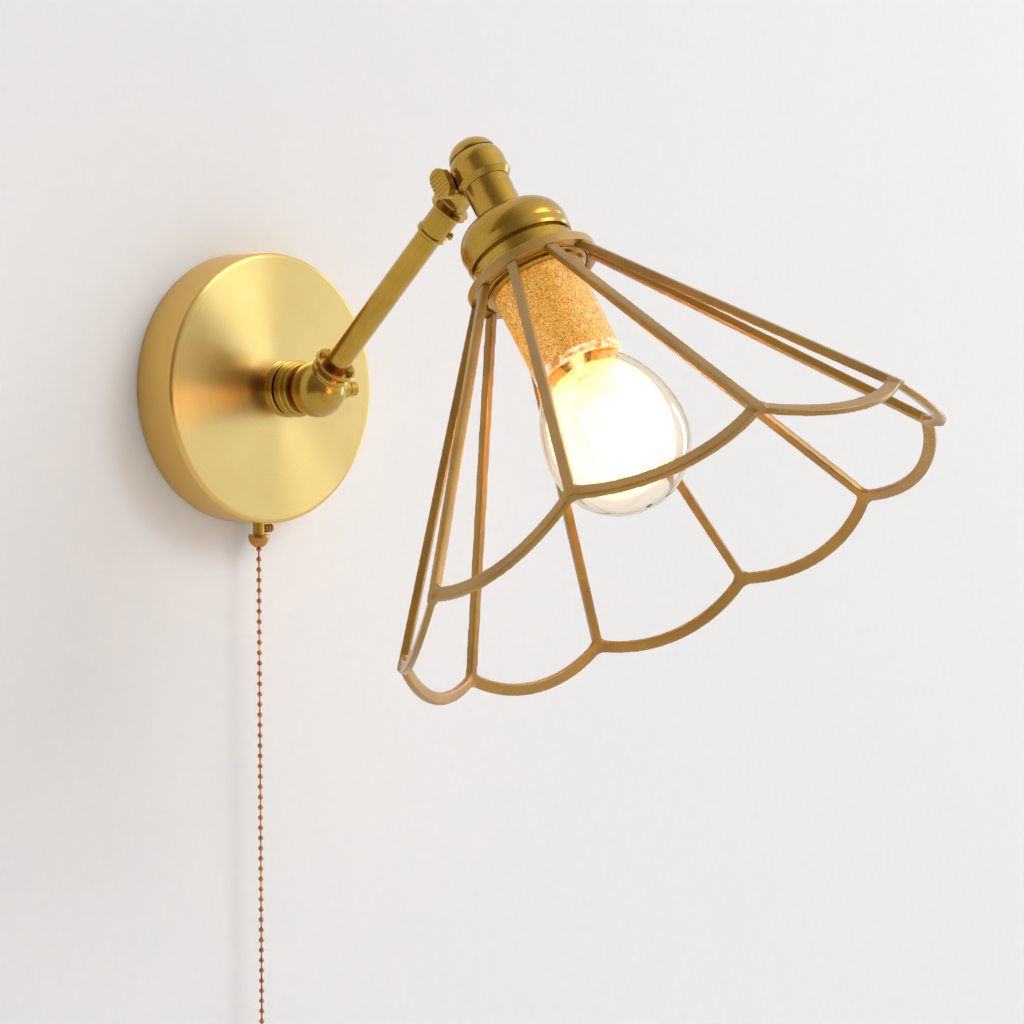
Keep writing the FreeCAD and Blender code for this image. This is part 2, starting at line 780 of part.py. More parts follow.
# ---------------------------------------------------------------- arm
def make_arm():
    ball = document.addObject("Part::Sphere", "elbow_ball_sphere")
    bind(ball, "Radius", D.ball_diameter / 2)
    place(ball, arm)
    boss = cylinder("elbow_ball_boss", D.boss_diameter / 2, D.boss_reach)
    place(boss, arm)
    solid = fuse("elbow_ball", [ball, boss])
    tube_radius = D.arm_tube_diameter / 2
    socket = cylinder("ball_tube_socket", tube_radius + D.running_clearance, D.boss_reach)
    place(socket, arm, z=D.tube_socket_start)
    crown = cylinder("ball_crown", D.boss_diameter / 2, D.ball_diameter)
    place(crown, arm, z=D.boss_reach)
    forward = cylinder("ball_wire_bore", D.wire_bore / 2, D.boss_reach)
    place(forward, arm)
    bend = document.addObject("Part::Sphere", "ball_wire_bend")
    bind(bend, "Radius", D.wire_bore / 2)
    place(bend, arm)
    mouth = cylinder("ball_rear_bore", D.wire_bore / 2, D.ball_diameter)
    backwards = Frame(-D.elbow_distance, 0, -90)
    place(mouth, backwards)
    pin_hole = cylinder("ball_pin_hole", D.pin_diameter / 2 + D.running_clearance,
                        D.ball_diameter)
    place(pin_hole, arm, turn=ALONG_X)
    tools = [socket, crown, forward, bend, mouth, pin_hole]
    keep("elbow_ball", cut("elbow_ball", solid, tools))

    # collar: a bead, a waist and a flared cup round the foot of the tube
    bead = D.collar_bead_diameter / 2
    lip = D.collar_lip_diameter / 2
    bore = tube_radius + D.running_clearance
    low = D.boss_reach
    bead_top = low + D.collar_bead_height
    top = bead_top + D.collar_lip_height
    waist = bead - D.collar_waist_depth
    floor = bead_top + 0.4
    rim = 0.7
    corners = [(bore, low), (bead - rim, low), (bead, low + rim, D.collar_bead_height),
               (bead, bead_top - rim), (bead - rim, bead_top), (waist, bead_top),
               (waist, bead_top + 0.6), (lip - rim, top - 1.6), (lip, top - 0.9), (lip, top - 0.4),
               (lip - 0.4, top), (lip - 1.2, top), (bore + 1.2, floor), (bore, floor)]
    collar = turned("arm_collar", corners)
    place(collar, arm)
    keep("arm_collar", collar)

    flange_face = D.arm_pivot_distance - D.arm_flange_setback
    flange_back = flange_face - D.arm_flange_thickness
    pipe = turned("arm_tube", tube(tube_radius, tube_radius - D.arm_tube_wall,
                                   D.tube_socket_start, flange_back - 3))
    place(pipe, arm)
    keep("arm_tube", pipe)

    # sleeve over the tube's top, with a bead at its foot
    start = D.sleeve_start
    sleeve = D.sleeve_diameter / 2
    bead = D.sleeve_bead_diameter / 2
    corners = [(bore, start), (bead - 0.5, start), (bead, start + 0.6), (bead, start + 1.8),
               (bead - 0.5, start + 2.4), (sleeve, start + 2.4), (sleeve, flange_back),
               (tube_radius - D.arm_tube_wall, flange_back),
               (tube_radius - D.arm_tube_wall, flange_back - 2.8), (bore, flange_back - 2.8)]
    blank = turned("arm_sleeve_blank", corners)
    place(blank, arm)
    screw_radius = D.set_screw_diameter / 2
    screw_turn = FreeCAD.Rotation(Z_DIRECTION, -50).multiply(ALONG_X)
    screw_height = start + D.set_screw_height
    drill = cylinder("set_screw_hole", screw_radius + D.running_clearance, sleeve * 2)
    place(drill, arm, z=screw_height, turn=screw_turn)
    keep("arm_sleeve", cut("arm_sleeve", blank, [drill]))

    reach = sleeve + D.set_screw_reach
    corners = [(0, bore), (screw_radius, bore), (screw_radius, sleeve + 0.15),
               (screw_radius + 0.55, sleeve + 0.35), (screw_radius + 0.55, reach - 0.4),
               (screw_radius + 0.15, reach), (0, reach)]
    screw = turned("set_screw", corners)
    place(screw, arm, z=screw_height, turn=screw_turn)
    keep("arm_set_screw", screw)

    # thin flange and the flat eye that the head pivots on
    disc = D.arm_flange_diameter / 2
    neck = D.eye_diameter / 2 - 0.6
    corners = [(0, flange_back), (disc - 0.3, flange_back), (disc, flange_back + 0.4),
               (disc, flange_face - 0.4), (disc - 0.3, flange_face), (neck, flange_face),
               (neck, flange_face + 2.2), (0, flange_face + 2.2)]
    base = turned("arm_eye_base", corners)
    place(base, arm)
    round_end = D.eye_diameter / 2
    corners = [(-round_end, flange_face + 1), (round_end, flange_face + 1),
               (round_end, D.arm_pivot_distance, round_end),
               (0, D.arm_pivot_distance + round_end, round_end),
               (-round_end, D.arm_pivot_distance)]
    blade = padded("arm_eye_blade", "YZ_Plane", corners, D.eye_thickness)
    place(blade, arm)
    bore = cylinder("arm_eye_bore", D.pin_diameter / 2 + D.running_clearance, D.eye_diameter * 2)
    place(bore, arm, x=-D.eye_diameter, z=D.arm_pivot_distance, turn=ALONG_X)
    keep("arm_eye", cut("arm_eye", fuse("arm_eye", [base, blade]), [bore]))


# ---------------------------------------------------------------- head
def make_eye_slot(label, width):
    """Slot behind the barrel, open from its top to its chamfered foot, for the arm's eye."""
    eye = D.eye_diameter / 2
    front = -D.pivot_offset + eye + D.side_clearance
    depth = D.pivot_offset + eye * 2
    top = -barrel_top_height - 1
    foot = -barrel_foot_height + D.barrel_chamfer
    slot = box(label, width, depth, foot - top)
    place(slot, head, y=front - depth / 2, z=top)
    return slot


def make_barrel():
    """Knuckle barrel. Its back is slotted for the arm's eye, between two cheeks."""
    radius = D.barrel_diameter / 2
    top_radius = D.barrel_top_diameter / 2
    top = -barrel_top_height
    shoulder = -barrel_shoulder_height
    bottom = -barrel_foot_height
    neck = D.neck_diameter / 2 + D.running_clearance
    bore = D.barrel_bore / 2
    seat = bottom - D.barrel_seat_depth
    curve = sagitta_radius(radius - top_radius, shoulder - top, as_size(0.45))
    corners = [(bore, top), (top_radius, top, curve), (radius, shoulder), (radius, bottom),
               (radius - D.barrel_chamfer * 0.7, bottom + D.barrel_chamfer),
               (neck, bottom + D.barrel_chamfer), (neck, seat), (bore, seat)]
    shell = turned("barrel_shell", corners)
    place(shell, head)

    eye = D.eye_diameter / 2
    slot_half = D.eye_thickness / 2 + D.side_clearance
    cheek_outer = slot_half + D.cheek_thickness
    pivot_y_local = -D.pivot_offset
    pivot_z_local = -pivot_height
    corners = [(pivot_y_local + eye * 1.1, pivot_z_local - eye),
               (pivot_y_local + eye * 1.1, pivot_z_local + eye),
               (pivot_y_local, pivot_z_local + eye, -eye),
               (pivot_y_local - eye, pivot_z_local, -eye),
               (pivot_y_local, pivot_z_local - eye)]
    lug = padded("barrel_lug", "YZ_Plane", corners, cheek_outer * 2)
    place(lug, head)
    solid = fuse("head_barrel", [shell, lug])

    clear = D.side_clearance
    slot = make_eye_slot("barrel_slot", slot_half * 2)
    tools = [slot]
    hub_edge = pivot_y_local + D.thumb_hub_diameter / 2 + clear
    for name, side in (("left", -1), ("right", 1)):
        relief = box(name + "_relief", radius, radius, D.thumb_hub_diameter + clear * 2)
        place(relief, head, x=side * (cheek_outer + radius / 2), y=hub_edge - radius / 2,
              z=pivot_z_local - D.thumb_hub_diameter / 2 - clear)
        tools.append(relief)
    bore = cylinder("cheek_bore", D.pin_diameter / 2 + D.running_clearance, radius * 4)
    place(bore, head, x=-radius * 2, y=pivot_y_local, z=pivot_z_local, turn=ALONG_X)
    tools.append(bore)
    inside = cylinder("barrel_inside", D.barrel_bore / 2, seat - top)
    place(inside, head, z=top)
    tools.append(inside)
    socket = cylinder("barrel_neck_socket", neck, D.barrel_chamfer * 4)
    place(socket, head, z=seat)
    tools.append(socket)
    keep("head_barrel", cut("head_barrel", solid, tools))
    return cheek_outer


def make_dome():
    base = -(barrel_top_height + D.dome_gap)
    radius = D.barrel_top_diameter / 2 - 0.1
    flat = radius * 0.3
    rise = D.dome_height
    spigot = D.barrel_bore / 2 - D.running_clearance
    curve = sagitta_radius(radius - flat, rise, D.dome_swell)
    corners = [(0, base + 1.2), (spigot - 1.4, base + 1.2), (spigot - 1.4, base + 1.1),
               (spigot, base + 1.1), (spigot, base), (radius, base),
               (radius, base - 0.8, -curve), (flat, base - 0.8 - rise), (0, base - 0.8 - rise)]
    dome = turned("dome_cap", corners)
    place(dome, head)
    keep("dome_cap", dome)


def make_pivot(cheek_outer):
    """Pivot screw, the oval thumb knob on it and the nut on the far side."""
    pin = D.pin_diameter / 2
    place_y = -D.pivot_offset
    place_z = -pivot_height
    knob_inner = D.barrel_diameter / 2 + D.side_clearance
    nut_outer = cheek_outer + D.pivot_nut_thickness
    screw_start = knob_inner + D.thumb_knob_thickness - 1.2
    screw = cylinder("head_pivot_screw", pin, screw_start + nut_outer + 0.8)
    place(screw, head, x=-screw_start, y=place_y, z=place_z, turn=ALONG_X)
    keep("head_pivot_screw", screw)

    blank = hexagon("pivot_nut_blank", D.pivot_nut_flats, D.pivot_nut_thickness)
    place(blank, head, x=cheek_outer, y=place_y, z=place_z, turn=ALONG_X)
    hole = cylinder("pivot_nut_bore", pin + D.running_clearance, D.pivot_nut_thickness * 3)
    place(hole, head, x=cheek_outer - D.pivot_nut_thickness, y=place_y, z=place_z, turn=ALONG_X)
    keep("head_pivot_nut", cut("head_pivot_nut", blank, [hole]))

    # oval paddle, ribbed across its outer face
    half_long = D.thumb_knob_length / 2
    half_wide = D.thumb_knob_width / 2
    reach = half_long - half_wide
    thick = D.thumb_knob_thickness
    corners = [(half_wide, -reach), (half_wide, reach, half_wide),
               (0, half_long, half_wide), (-half_wide, reach), (-half_wide, -reach, half_wide),
               (0, -half_long, half_wide)]
    paddle = padded("thumb_paddle", "XY_Plane", corners, thick, symmetric=False)
    outwards = FreeCAD.Rotation(X_DIRECTION, DRIVING_SIZES["thumb_knob_angle"])
    outwards = outwards.multiply(FreeCAD.Rotation(Y_DIRECTION, -90))
    outwards = outwards.multiply(FreeCAD.Rotation(Z_DIRECTION, 90))
    place(paddle, head, x=-knob_inner, y=place_y, z=place_z, turn=outwards)
    hub_length = knob_inner - cheek_outer - 0.3
    hub = cylinder("thumb_hub", D.thumb_hub_diameter / 2, hub_length)
    place(hub, head, x=-knob_inner, y=place_y, z=place_z, turn=ALONG_X)
    tools = []
    screw_hole = cylinder("thumb_screw_hole", pin + D.running_clearance,
                          hub_length + thick)
    place(screw_hole, head, x=-(screw_start + 0.1), y=place_y, z=place_z, turn=ALONG_X)
    tools.append(screw_hole)
    for number in range(6):
        groove = cylinder("thumb_groove%d" % number, 0.42, half_wide * 2.4)
        along = (number - 2.5) * D.thumb_knob_length / 8
        lean = FreeCAD.Rotation(X_DIRECTION, 90)
        place(groove, head, x=-(knob_inner + thick), y=place_y + half_wide * 1.2,
              z=place_z + along, turn=lean)
        tools.append(groove)
    keep("head_thumb_knob", cut("head_thumb_knob", fuse("head_thumb", [paddle, hub]), tools))


def make_neck():
    outer = D.neck_diameter / 2
    bore = D.neck_bore / 2
    nipple = D.nipple_diameter / 2 + D.running_clearance
    top = -(barrel_foot_height + D.barrel_seat_depth - 0.1)
    bottom = -neck_foot_height
    web = bottom - D.neck_web_thickness
    corners = [(bore, top), (outer, top), (outer, bottom), (nipple, bottom), (nipple, web),
               (bore, web)]
    neck = turned("head_neck_tube", corners)
    place(neck, head)
    slot = make_eye_slot("neck_slot", D.eye_thickness + D.side_clearance * 2)
    keep("head_neck", cut("head_neck", neck, [slot]))

    # hidden nipple and nut that clamp the bell to the neck
    shell = D.shell_wall
    start = bottom - (D.neck_web_thickness - 0.4)
    nut_top = bottom + shell
    end = nut_top + D.nut_thickness + 1
    piece = turned("head_nipple", tube(D.nipple_diameter / 2, D.nipple_bore / 2, start, end))
    place(piece, head)
    keep("head_nipple", piece)
    blank = hexagon("head_nut_blank", D.nut_flats, D.nut_thickness)
    place(blank, head, z=nut_top)
    hole = cylinder("head_nut_bore", nipple, D.nut_thickness * 3)
    place(hole, head, z=nut_top - D.nut_thickness)
    keep("head_nipple_nut", cut("head_nipple_nut", blank, [hole]))


def make_bell():
    """Bell-shaped upper cup."""
    radius = D.bell_diameter / 2
    wall_thick = D.shell_wall
    top = -neck_foot_height
    rim = -bell_rim_height
    shoulder = top + D.bell_shoulder
    flat = D.neck_diameter / 2 + 1.2
    hole = D.nipple_diameter / 2 + D.running_clearance
    outer_curve = sagitta_radius(radius - flat, shoulder - top, as_size(4.6))
    inner_curve = sagitta_radius(radius - flat, shoulder - top, as_size(4.0))
    corners = [(hole, top), (flat, top, outer_curve), (radius, shoulder), (radius, rim - 1.2),
               (radius - 0.5, rim), (radius - wall_thick, rim),
               (radius - wall_thick, shoulder, -inner_curve),
               (flat - wall_thick, top + wall_thick), (hole, top + wall_thick)]
    bell = turned("bell_cup", corners)
    place(bell, head)
    keep("bell_cup", bell)


def make_lower_cup():
    """Straight lower cup. Its spigot sits in the bell, and the shade hangs from its foot."""
    radius = D.lower_cup_diameter / 2
    wall_thick = D.shell_wall
    spigot = D.bell_diameter / 2 - wall_thick - D.running_clearance
    top = -bell_rim_height + D.cup_gap
    spigot_top = top - D.lower_cup_spigot
    bottom = -D.lower_cup_foot
    sleeve = D.sleeve_shell_diameter / 2 + D.running_clearance
    corners = [(spigot - wall_thick, spigot_top), (spigot, spigot_top), (spigot, top - 0.9),
               (spigot - 1.0, top - 0.9), (spigot - 1.0, top), (radius - 0.4, top),
               (radius, top + 0.5), (radius, bottom), (sleeve, bottom),
               (sleeve, bottom - wall_thick), (spigot - wall_thick, bottom - wall_thick)]
    cup = turned("lower_cup", corners)
    place(cup, head)
    keep("lower_cup", cup)


# ---------------------------------------------------------------- lampholder and lamp
def make_lampholder():
    sleeve = D.sleeve_shell_diameter / 2
    thin = D.sleeve_shell_wall
    top = -D.lower_cup_foot - D.sleeve_shell_grip
    end = D.sleeve_shell_end
    inner = sleeve - thin
    shell = turned("socket_sleeve", tube(sleeve, inner, top, end))
    place(shell, head)
    keep("socket_sleeve", shell)

    # light band that closes the sleeve's mouth
    band_end = end + D.collar_band_height
    mouth = D.bulb_neck_diameter / 2 + 0.9
    corners = [(mouth, end), (sleeve, end), (sleeve, end + 0.8), (sleeve - 0.5, end + 1.2),
               (sleeve - 0.5, band_end - 0.8), (sleeve - 1.2, band_end), (mouth, band_end)]
    band = turned("sleeve_end_band", corners)
    place(band, head)
    keep("sleeve_end_band", band)

    # insulating core, with a rim that carries the screw shell
    core_top = -D.core_height
    core = inner - D.running_clearance
    shell_outer = D.screw_shell_bore / 2 + D.screw_shell_wall
    floor = -D.core_boss_height
    corners = [(0, core_top), (core, core_top), (core, 0), (shell_outer, 0),
               (shell_outer, floor), (0, floor)]
    piece = turned("socket_core", corners)
    place(piece, head)
    keep("socket_core", piece)

    screw_shell = turned("screw_shell", tube(shell_outer, D.screw_shell_bore / 2, floor,
                                             floor + D.screw_shell_length))
    place(screw_shell, head)
    keep("screw_shell", screw_shell)

    # centre contact: a flat blade with a low hump under the cap's tip
    half = D.contact_length / 2
    hump = D.contact_hump_width / 2
    blade = floor + D.contact_thickness
    tip = blade + D.contact_hump_rise
    corners = [(-half, floor), (half, floor), (half, blade), (half * 0.5, blade),
               (hump, tip), (-hump, tip), (-half * 0.5, blade), (-half, blade)]
    contact = padded("centre_contact", "XZ_Plane", corners, D.contact_width)
    place(contact, head)
    keep("centre_contact", contact)

    # retaining ring that is screwed up under the shade ring
    gallery = D.gallery_diameter / 2
    start = -D.lower_cup_foot + D.ring_web
    finish = start + D.gallery_height
    bore = sleeve + D.running_clearance
    corners = [(bore, start), (gallery, start), (gallery, start + D.gallery_height * 0.45),
               (gallery - 1.4, start + D.gallery_height * 0.55), (gallery - 1.4, finish - 0.8),
               (gallery - 2.2, finish), (bore, finish)]
    ring = turned("gallery_ring", corners)
    place(ring, head)
    keep("gallery_ring", ring)


def make_bulb():
    """Clear lamp with a screw cap, a glass mount and four upright filaments."""
    ball = D.bulb_diameter / 2
    centre = D.bulb_centre
    thin = D.glass_wall
    neck = D.bulb_neck_diameter / 2
    cap_end = D.cap_start + D.cap_length
    waist = D.bulb_neck_end
    swell = ball - neck
    rise = centre - waist
    flare = (rise * rise + swell * swell) / (2 * swell)
    throat = D.cap_diameter / 2 - 0.9
    grip = cap_end - D.cap_grip
    corners = [(throat - thin, grip), (throat, grip), (throat, cap_end),
               (neck, waist, flare), (ball, centre, ball), (0, centre + ball),
               (0, centre + ball - thin, -(ball - thin)), (ball - thin, centre, -flare),
               (neck - thin, waist), (throat - thin, cap_end)]
    glass = turned("bulb_glass", corners)
    place(glass, head)
    keep("bulb_glass", glass)

    cap = D.cap_diameter / 2
    start = D.cap_start
    wall_thick = as_size(0.6)
    thread_start = start + D.cap_tip_height
    corners = [(0, start), (4, start), (5.5, start + 1.5), (cap - 3.4, thread_start - 2),
               (cap - 0.2, thread_start)]
    turns = 5
    pitch = (D.cap_length - D.cap_tip_height - D.cap_rim_height) / turns
    for number in range(turns):
        low = thread_start + pitch * number
        corners.append((cap, low + pitch * 0.35))
        corners.append((cap - 0.8, low + pitch * 0.85))
    corners += [(cap - 0.2, cap_end - 1.6), (cap - 0.2, cap_end), (throat + 0.05, cap_end),
                (throat + 0.05, grip - 0.2), (throat - 1.5, grip - 0.2),
                (cap - 3.4 - wall_thick, thread_start - 0.5), (0, thread_start - 2.5)]
    cap_piece = turned("bulb_cap", corners)
    place(cap_piece, head)
    keep("bulb_cap", cap_piece)

    stem_top = centre - D.filament_length / 2 - 1.5
    corners = [(0, grip), (throat - 1.6, grip), (throat - 4.5, cap_end + 2),
               (3.2, stem_top - D.mount_taper), (2.6, stem_top - 2), (3.6, stem_top),
               (0, stem_top)]
    mount = turned("bulb_mount", corners)
    place(mount, head)
    keep("bulb_mount", mount)

    # filaments stand on a ring of wire arms between the mount and the top spider
    spread = D.filament_spread
    low = centre - D.filament_length / 2
    sticks = []
    for number in range(4):
        angle = 45 + 90 * number
        turn = FreeCAD.Rotation(Z_DIRECTION, angle)
        for name, height in (("low", low - 0.6), ("high", low + D.filament_length)):
            arm_wire = box("filament_%s_arm%d" % (name, number), spread + 1.2,
                           D.filament_wire, D.filament_wire)
            place(arm_wire, head, x=spread / 2 * cosine(angle), y=spread / 2 * sine(angle),
                  z=height, turn=turn)
            sticks.append(arm_wire)
        stick = cylinder("filament%d" % number, D.filament_diameter / 2, D.filament_length)
        place(stick, head, x=spread * cosine(angle), y=spread * sine(angle), z=low)
        sticks.append(stick)
    post = cylinder("filament_post", 0.6, D.filament_length + 2.1)
    place(post, head, z=stem_top)
    sticks.append(post)
    keep("bulb_filaments", fuse("bulb_filaments", sticks))


# ---------------------------------------------------------------- shade
def make_shade():
    outer = D.ring_diameter / 2
    top = -D.lower_cup_foot
    bottom = top + D.ring_height
    web = top + D.ring_web
    hole = D.sleeve_shell_diameter / 2 + D.running_clearance
    lip = outer - D.ring_lip
    corners = [(hole, top), (outer - 0.6, top), (outer, top + 0.6), (outer, bottom),
               (lip, bottom), (lip, web), (hole, web)]
    ring = turned("shade_ring", corners)
    place(ring, head)
    keep("shade_ring", ring)

    # each petal is a flat side of a cone: its slope, its chord at the rim and its arc
    half_step = 180 / D.petal_count
    rim = D.shade_rim_diameter / 2
    start_radius = outer - D.ring_lip / 2
    start_height = bottom
    run = rim - start_radius
    drop = D.shade_drop - start_height
    length = root(run * run + drop * drop)
    side = run / length
    along = drop / length
    middle_run = run * cosine(half_step)
    slant = root(middle_run * middle_run + drop * drop)
    outwards = middle_run / slant
    downwards = drop / slant
    half_chord = rim * sine(half_step)
    bulge = D.petal_bulge
    arc = (half_chord * half_chord + bulge * bulge) / (2 * bulge)
    end_angle = arc_sine(half_chord / arc)
    back = arc - bulge
    centre_radius = rim * cosine(half_step) - back * outwards
    centre_height = D.shade_drop - back * downwards

    # side view of one rib: from the ring's flat lip to just past the rim's corner
    half = D.rib_thickness / 2
    extra = D.scallop_width / 2 / cosine(end_angle) + 0.3
    corners = [(start_radius - half / along, start_height),
               (start_radius + half / along, start_height),
               (rim + half * along + extra * side, D.shade_drop - half * side + extra * along),
               (rim - half * along + extra * side, D.shade_drop + half * side + extra * along)]
    ribs = padded("shade_ribs", "XZ_Plane", corners, D.rib_width)
    polar_group(ribs, ribs.Tip, D.petal_count)
    phase = FreeCAD.Rotation(Z_DIRECTION, DRIVING_SIZES["rib_phase"])
    place(ribs, head, turn=phase)
    keep("shade_ribs", ribs)

    # scallops: flat arcs in the plane of each petal, parted by the ribs
    thick = D.scallop_thickness / 2
    near = arc - D.scallop_width / 2
    far = arc + D.scallop_width / 2

    def petal_point(distance, lift):
        """Point at a distance from the arc's centre, lifted square to the petal."""
        return (centre_radius + distance * outwards + lift * downwards,
                centre_height + distance * downwards - lift * outwards)

    body = document.addObject("PartDesign::Body", "scallop_band")
    sketch = new_sketch(body, "XZ_Plane")
    section = [petal_point(near, -thick), petal_point(near, thick),
               petal_point(far, thick), petal_point(far, -thick)]
    draw_outline(sketch, section)
    axis_start = (centre_radius, centre_height)
    axis_end = petal_point(as_size(0), as_size(5))
    line = Part.LineSegment(
        FreeCAD.Vector(axis_start[0].value, axis_start[1].value, 0),
        FreeCAD.Vector(axis_end[0].value, axis_end[1].value, 0))
    axis = sketch.addGeometry(line, True)
    pin_point(sketch, axis, 1, axis_start[0], axis_start[1], "axisStart")
    pin_point(sketch, axis, 2, axis_end[0], axis_end[1], "axisEnd")
    scallop = body.newObject("PartDesign::Revolution", "scallop_arc")
    scallop.Profile = sketch
    scallop.ReferenceAxis = (sketch, ["Axis0"])
    scallop.Midplane = True
    bind(scallop, "Angle", 2 * end_angle)
    polar_group(body, scallop, D.petal_count)
    phase = FreeCAD.Rotation(Z_DIRECTION, DRIVING_SIZES["rib_phase"] + half_step.value)
    place(body, head, turn=phase)
    keep("shade_scallops", cut("shade_scallops", body, [ribs]))


def check(piece):
    """Stops the build if a feature failed or a shape is missing or broken."""
    if "Invalid" in piece.State or "Error" in piece.State:
        raise RuntimeError(piece.Name + " failed: " + str(piece.State))


def write_parts():
    document.recompute()
    for piece in document.Objects:
        check(piece)
    os.makedirs("parts", exist_ok=True)
    for piece in NODES:
        shape = piece.Shape
        if shape.isNull() or not shape.isValid():
            raise RuntimeError(piece.Label + " has no valid shape")
        if shape.Volume <= 0:
            raise RuntimeError(piece.Label + " encloses no volume")
        shape.exportStep(os.path.join("parts", piece.Label + ".step"))
        print("%-20s %2d solids %10.1f mm3" % (piece.Label, len(shape.Solids), shape.Volume))


make_backplate()
make_bracket()
make_nipple()
make_ground_screw()
make_switch()
make_guide_screw()
make_chain()
swivel_start = make_stem()
make_elbow_cup(swivel_start)
make_elbow_clamp()
make_arm()
cheek_face = make_barrel()
make_dome()
make_pivot(cheek_face)
make_neck()
make_bell()
make_lower_cup()
make_lampholder()
make_bulb()
make_shade()
write_parts()
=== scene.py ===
import json
import math

import bmesh
import bpy
from mathutils import Matrix, Vector


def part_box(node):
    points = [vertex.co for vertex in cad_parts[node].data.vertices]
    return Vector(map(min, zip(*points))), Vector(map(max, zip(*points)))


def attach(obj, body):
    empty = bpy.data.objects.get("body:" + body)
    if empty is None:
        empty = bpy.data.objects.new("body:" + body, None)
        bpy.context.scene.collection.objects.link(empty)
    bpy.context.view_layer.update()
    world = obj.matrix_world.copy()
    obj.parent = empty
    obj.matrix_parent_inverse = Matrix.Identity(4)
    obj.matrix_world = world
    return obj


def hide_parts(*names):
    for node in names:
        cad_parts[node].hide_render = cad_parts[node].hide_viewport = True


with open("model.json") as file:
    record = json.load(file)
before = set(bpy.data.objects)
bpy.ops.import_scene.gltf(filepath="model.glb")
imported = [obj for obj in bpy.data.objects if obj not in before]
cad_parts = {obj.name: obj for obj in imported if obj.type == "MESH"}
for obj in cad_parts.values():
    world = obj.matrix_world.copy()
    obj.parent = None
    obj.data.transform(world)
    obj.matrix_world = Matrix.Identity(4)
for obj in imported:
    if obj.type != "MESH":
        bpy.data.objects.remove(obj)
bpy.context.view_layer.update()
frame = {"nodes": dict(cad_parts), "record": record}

# ---------------------------------------------------------------- camera
# Place and angles of the photograph's camera, in metres and degrees.
CAMERA_PLACE = Vector((-0.63445, -0.71581, 0.00696))
CAMERA_AZIMUTH = -48.848
CAMERA_PITCH = 3.775
CAMERA_ROLL = 0.092
FOCAL_LENGTH_PIXELS = 2100
IMAGE_SIDE_PIXELS = 1024
SENSOR_WIDTH_MM = 36

# ---------------------------------------------------------------- lamp sizes, in metres
CHAIN_DEPTH = 0.010
CHAIN_TOP = -0.0603
CHAIN_LENGTH = 0.240
CHAIN_DIAMETER = 0.0024
BEAD_PITCH = 0.0047
LINK_RADIUS = 0.0004
HEAD_TILT = 33.5
ARM_ELEVATION = 43.5
ELBOW_DISTANCE = 0.049
ARM_LENGTH = 0.120
PIVOT_OFFSET = 0.0096
PIVOT_HEIGHT = 0.061
SHADE_RIM_RADIUS = 0.1098
SHADE_DROP = 0.1117
RIB_PHASE = 12.8
PETAL_COUNT = 10
BULB_CENTRE = 0.068
PLATE_RIM_START = 0.0578
PLATE_RIM_END = 0.0590
NOZZLE_START = -0.0550
NOZZLE_FULL = -0.0560

# ---------------------------------------------------------------- cage and glow, in metres
# half sizes of the weld at each joint: across the wires, round the rim, along the rib
WELD_HALF_SIZES = (0.0017, 0.0040, 0.0034)
CAGE_VOXEL = 0.00045
CAGE_SMOOTHING_STEPS = 7
# radius and length of each shell of light inside the bulb
GLOW_SHELLS = [(0.0070, 0.026), (0.0100, 0.030), (0.0130, 0.034), (0.0160, 0.038),
               (0.0190, 0.041), (0.0215, 0.0435), (0.0235, 0.046)]
GLOW_SHIFT = 0.006
GLOW_STRETCH = 1.15
GLOW_FULLNESS = 0.7
GLOW_TIP_RADIUS = 0.0002
GLOW_CORE_SHIFT = 0.004
GLOW_CORE_RADIUS = 0.009
GLOW_OUTER_RADIUS = 0.026

# ---------------------------------------------------------------- stage and light
WALL_COLOUR = (0.89, 0.895, 0.90)
WALL_PLACE = 0.0006
FLOOR_HEIGHT = -1.0
STAGE_REACH = 4.0
# brightness of the room by direction, from its darkest side (0) to its brightest (1)
ROOM_LEVELS = [(0.0, (0.22, 0.165, 0.115)), (0.40, (0.25, 0.20, 0.155)),
               (0.60, (0.30, 0.275, 0.25)), (0.80, (0.76, 0.76, 0.76)), (1.0, (1.14, 1.14, 1.14))]
ROOM_BRIGHTEST = Vector((0.74, -0.42, 0.50))
ROOM_SEEN = (0.86, 0.86, 0.855)
# each soft light: name, place, target, width and height in metres, power in watts
KEY_LIGHT = ("key", (1.5, -2.8, 1.9), (0, -0.1, 0), 1.7, 1.7, 42)
SIDE_LIGHT = ("side", (2.1, -0.60, 0.25), (0, -0.15, 0), 0.30, 1.5, 7)
BULB_POWER = 8.5
BULB_COLOUR = (1.0, 0.42, 0.09)
BULB_LIGHT_RADIUS = 0.012


def make_camera():
    azimuth = math.radians(CAMERA_AZIMUTH)
    pitch = math.radians(CAMERA_PITCH)
    roll = math.radians(CAMERA_ROLL)
    back = Vector((math.sin(azimuth) * math.cos(pitch),
                   -math.cos(azimuth) * math.cos(pitch), math.sin(pitch)))
    level = Vector((math.cos(azimuth), math.sin(azimuth), 0))
    upright = back.cross(level)
    right = level * math.cos(roll) + upright * math.sin(roll)
    up = upright * math.cos(roll) - level * math.sin(roll)
    turn = Matrix((right, up, back)).transposed().to_4x4()
    data = bpy.data.cameras.new("camera")
    data.sensor_width = SENSOR_WIDTH_MM
    data.lens = FOCAL_LENGTH_PIXELS / IMAGE_SIDE_PIXELS * SENSOR_WIDTH_MM
    camera = bpy.data.objects.new("camera", data)
    camera.matrix_world = Matrix.Translation(CAMERA_PLACE) @ turn
    bpy.context.scene.collection.objects.link(camera)
    bpy.context.scene.camera = camera


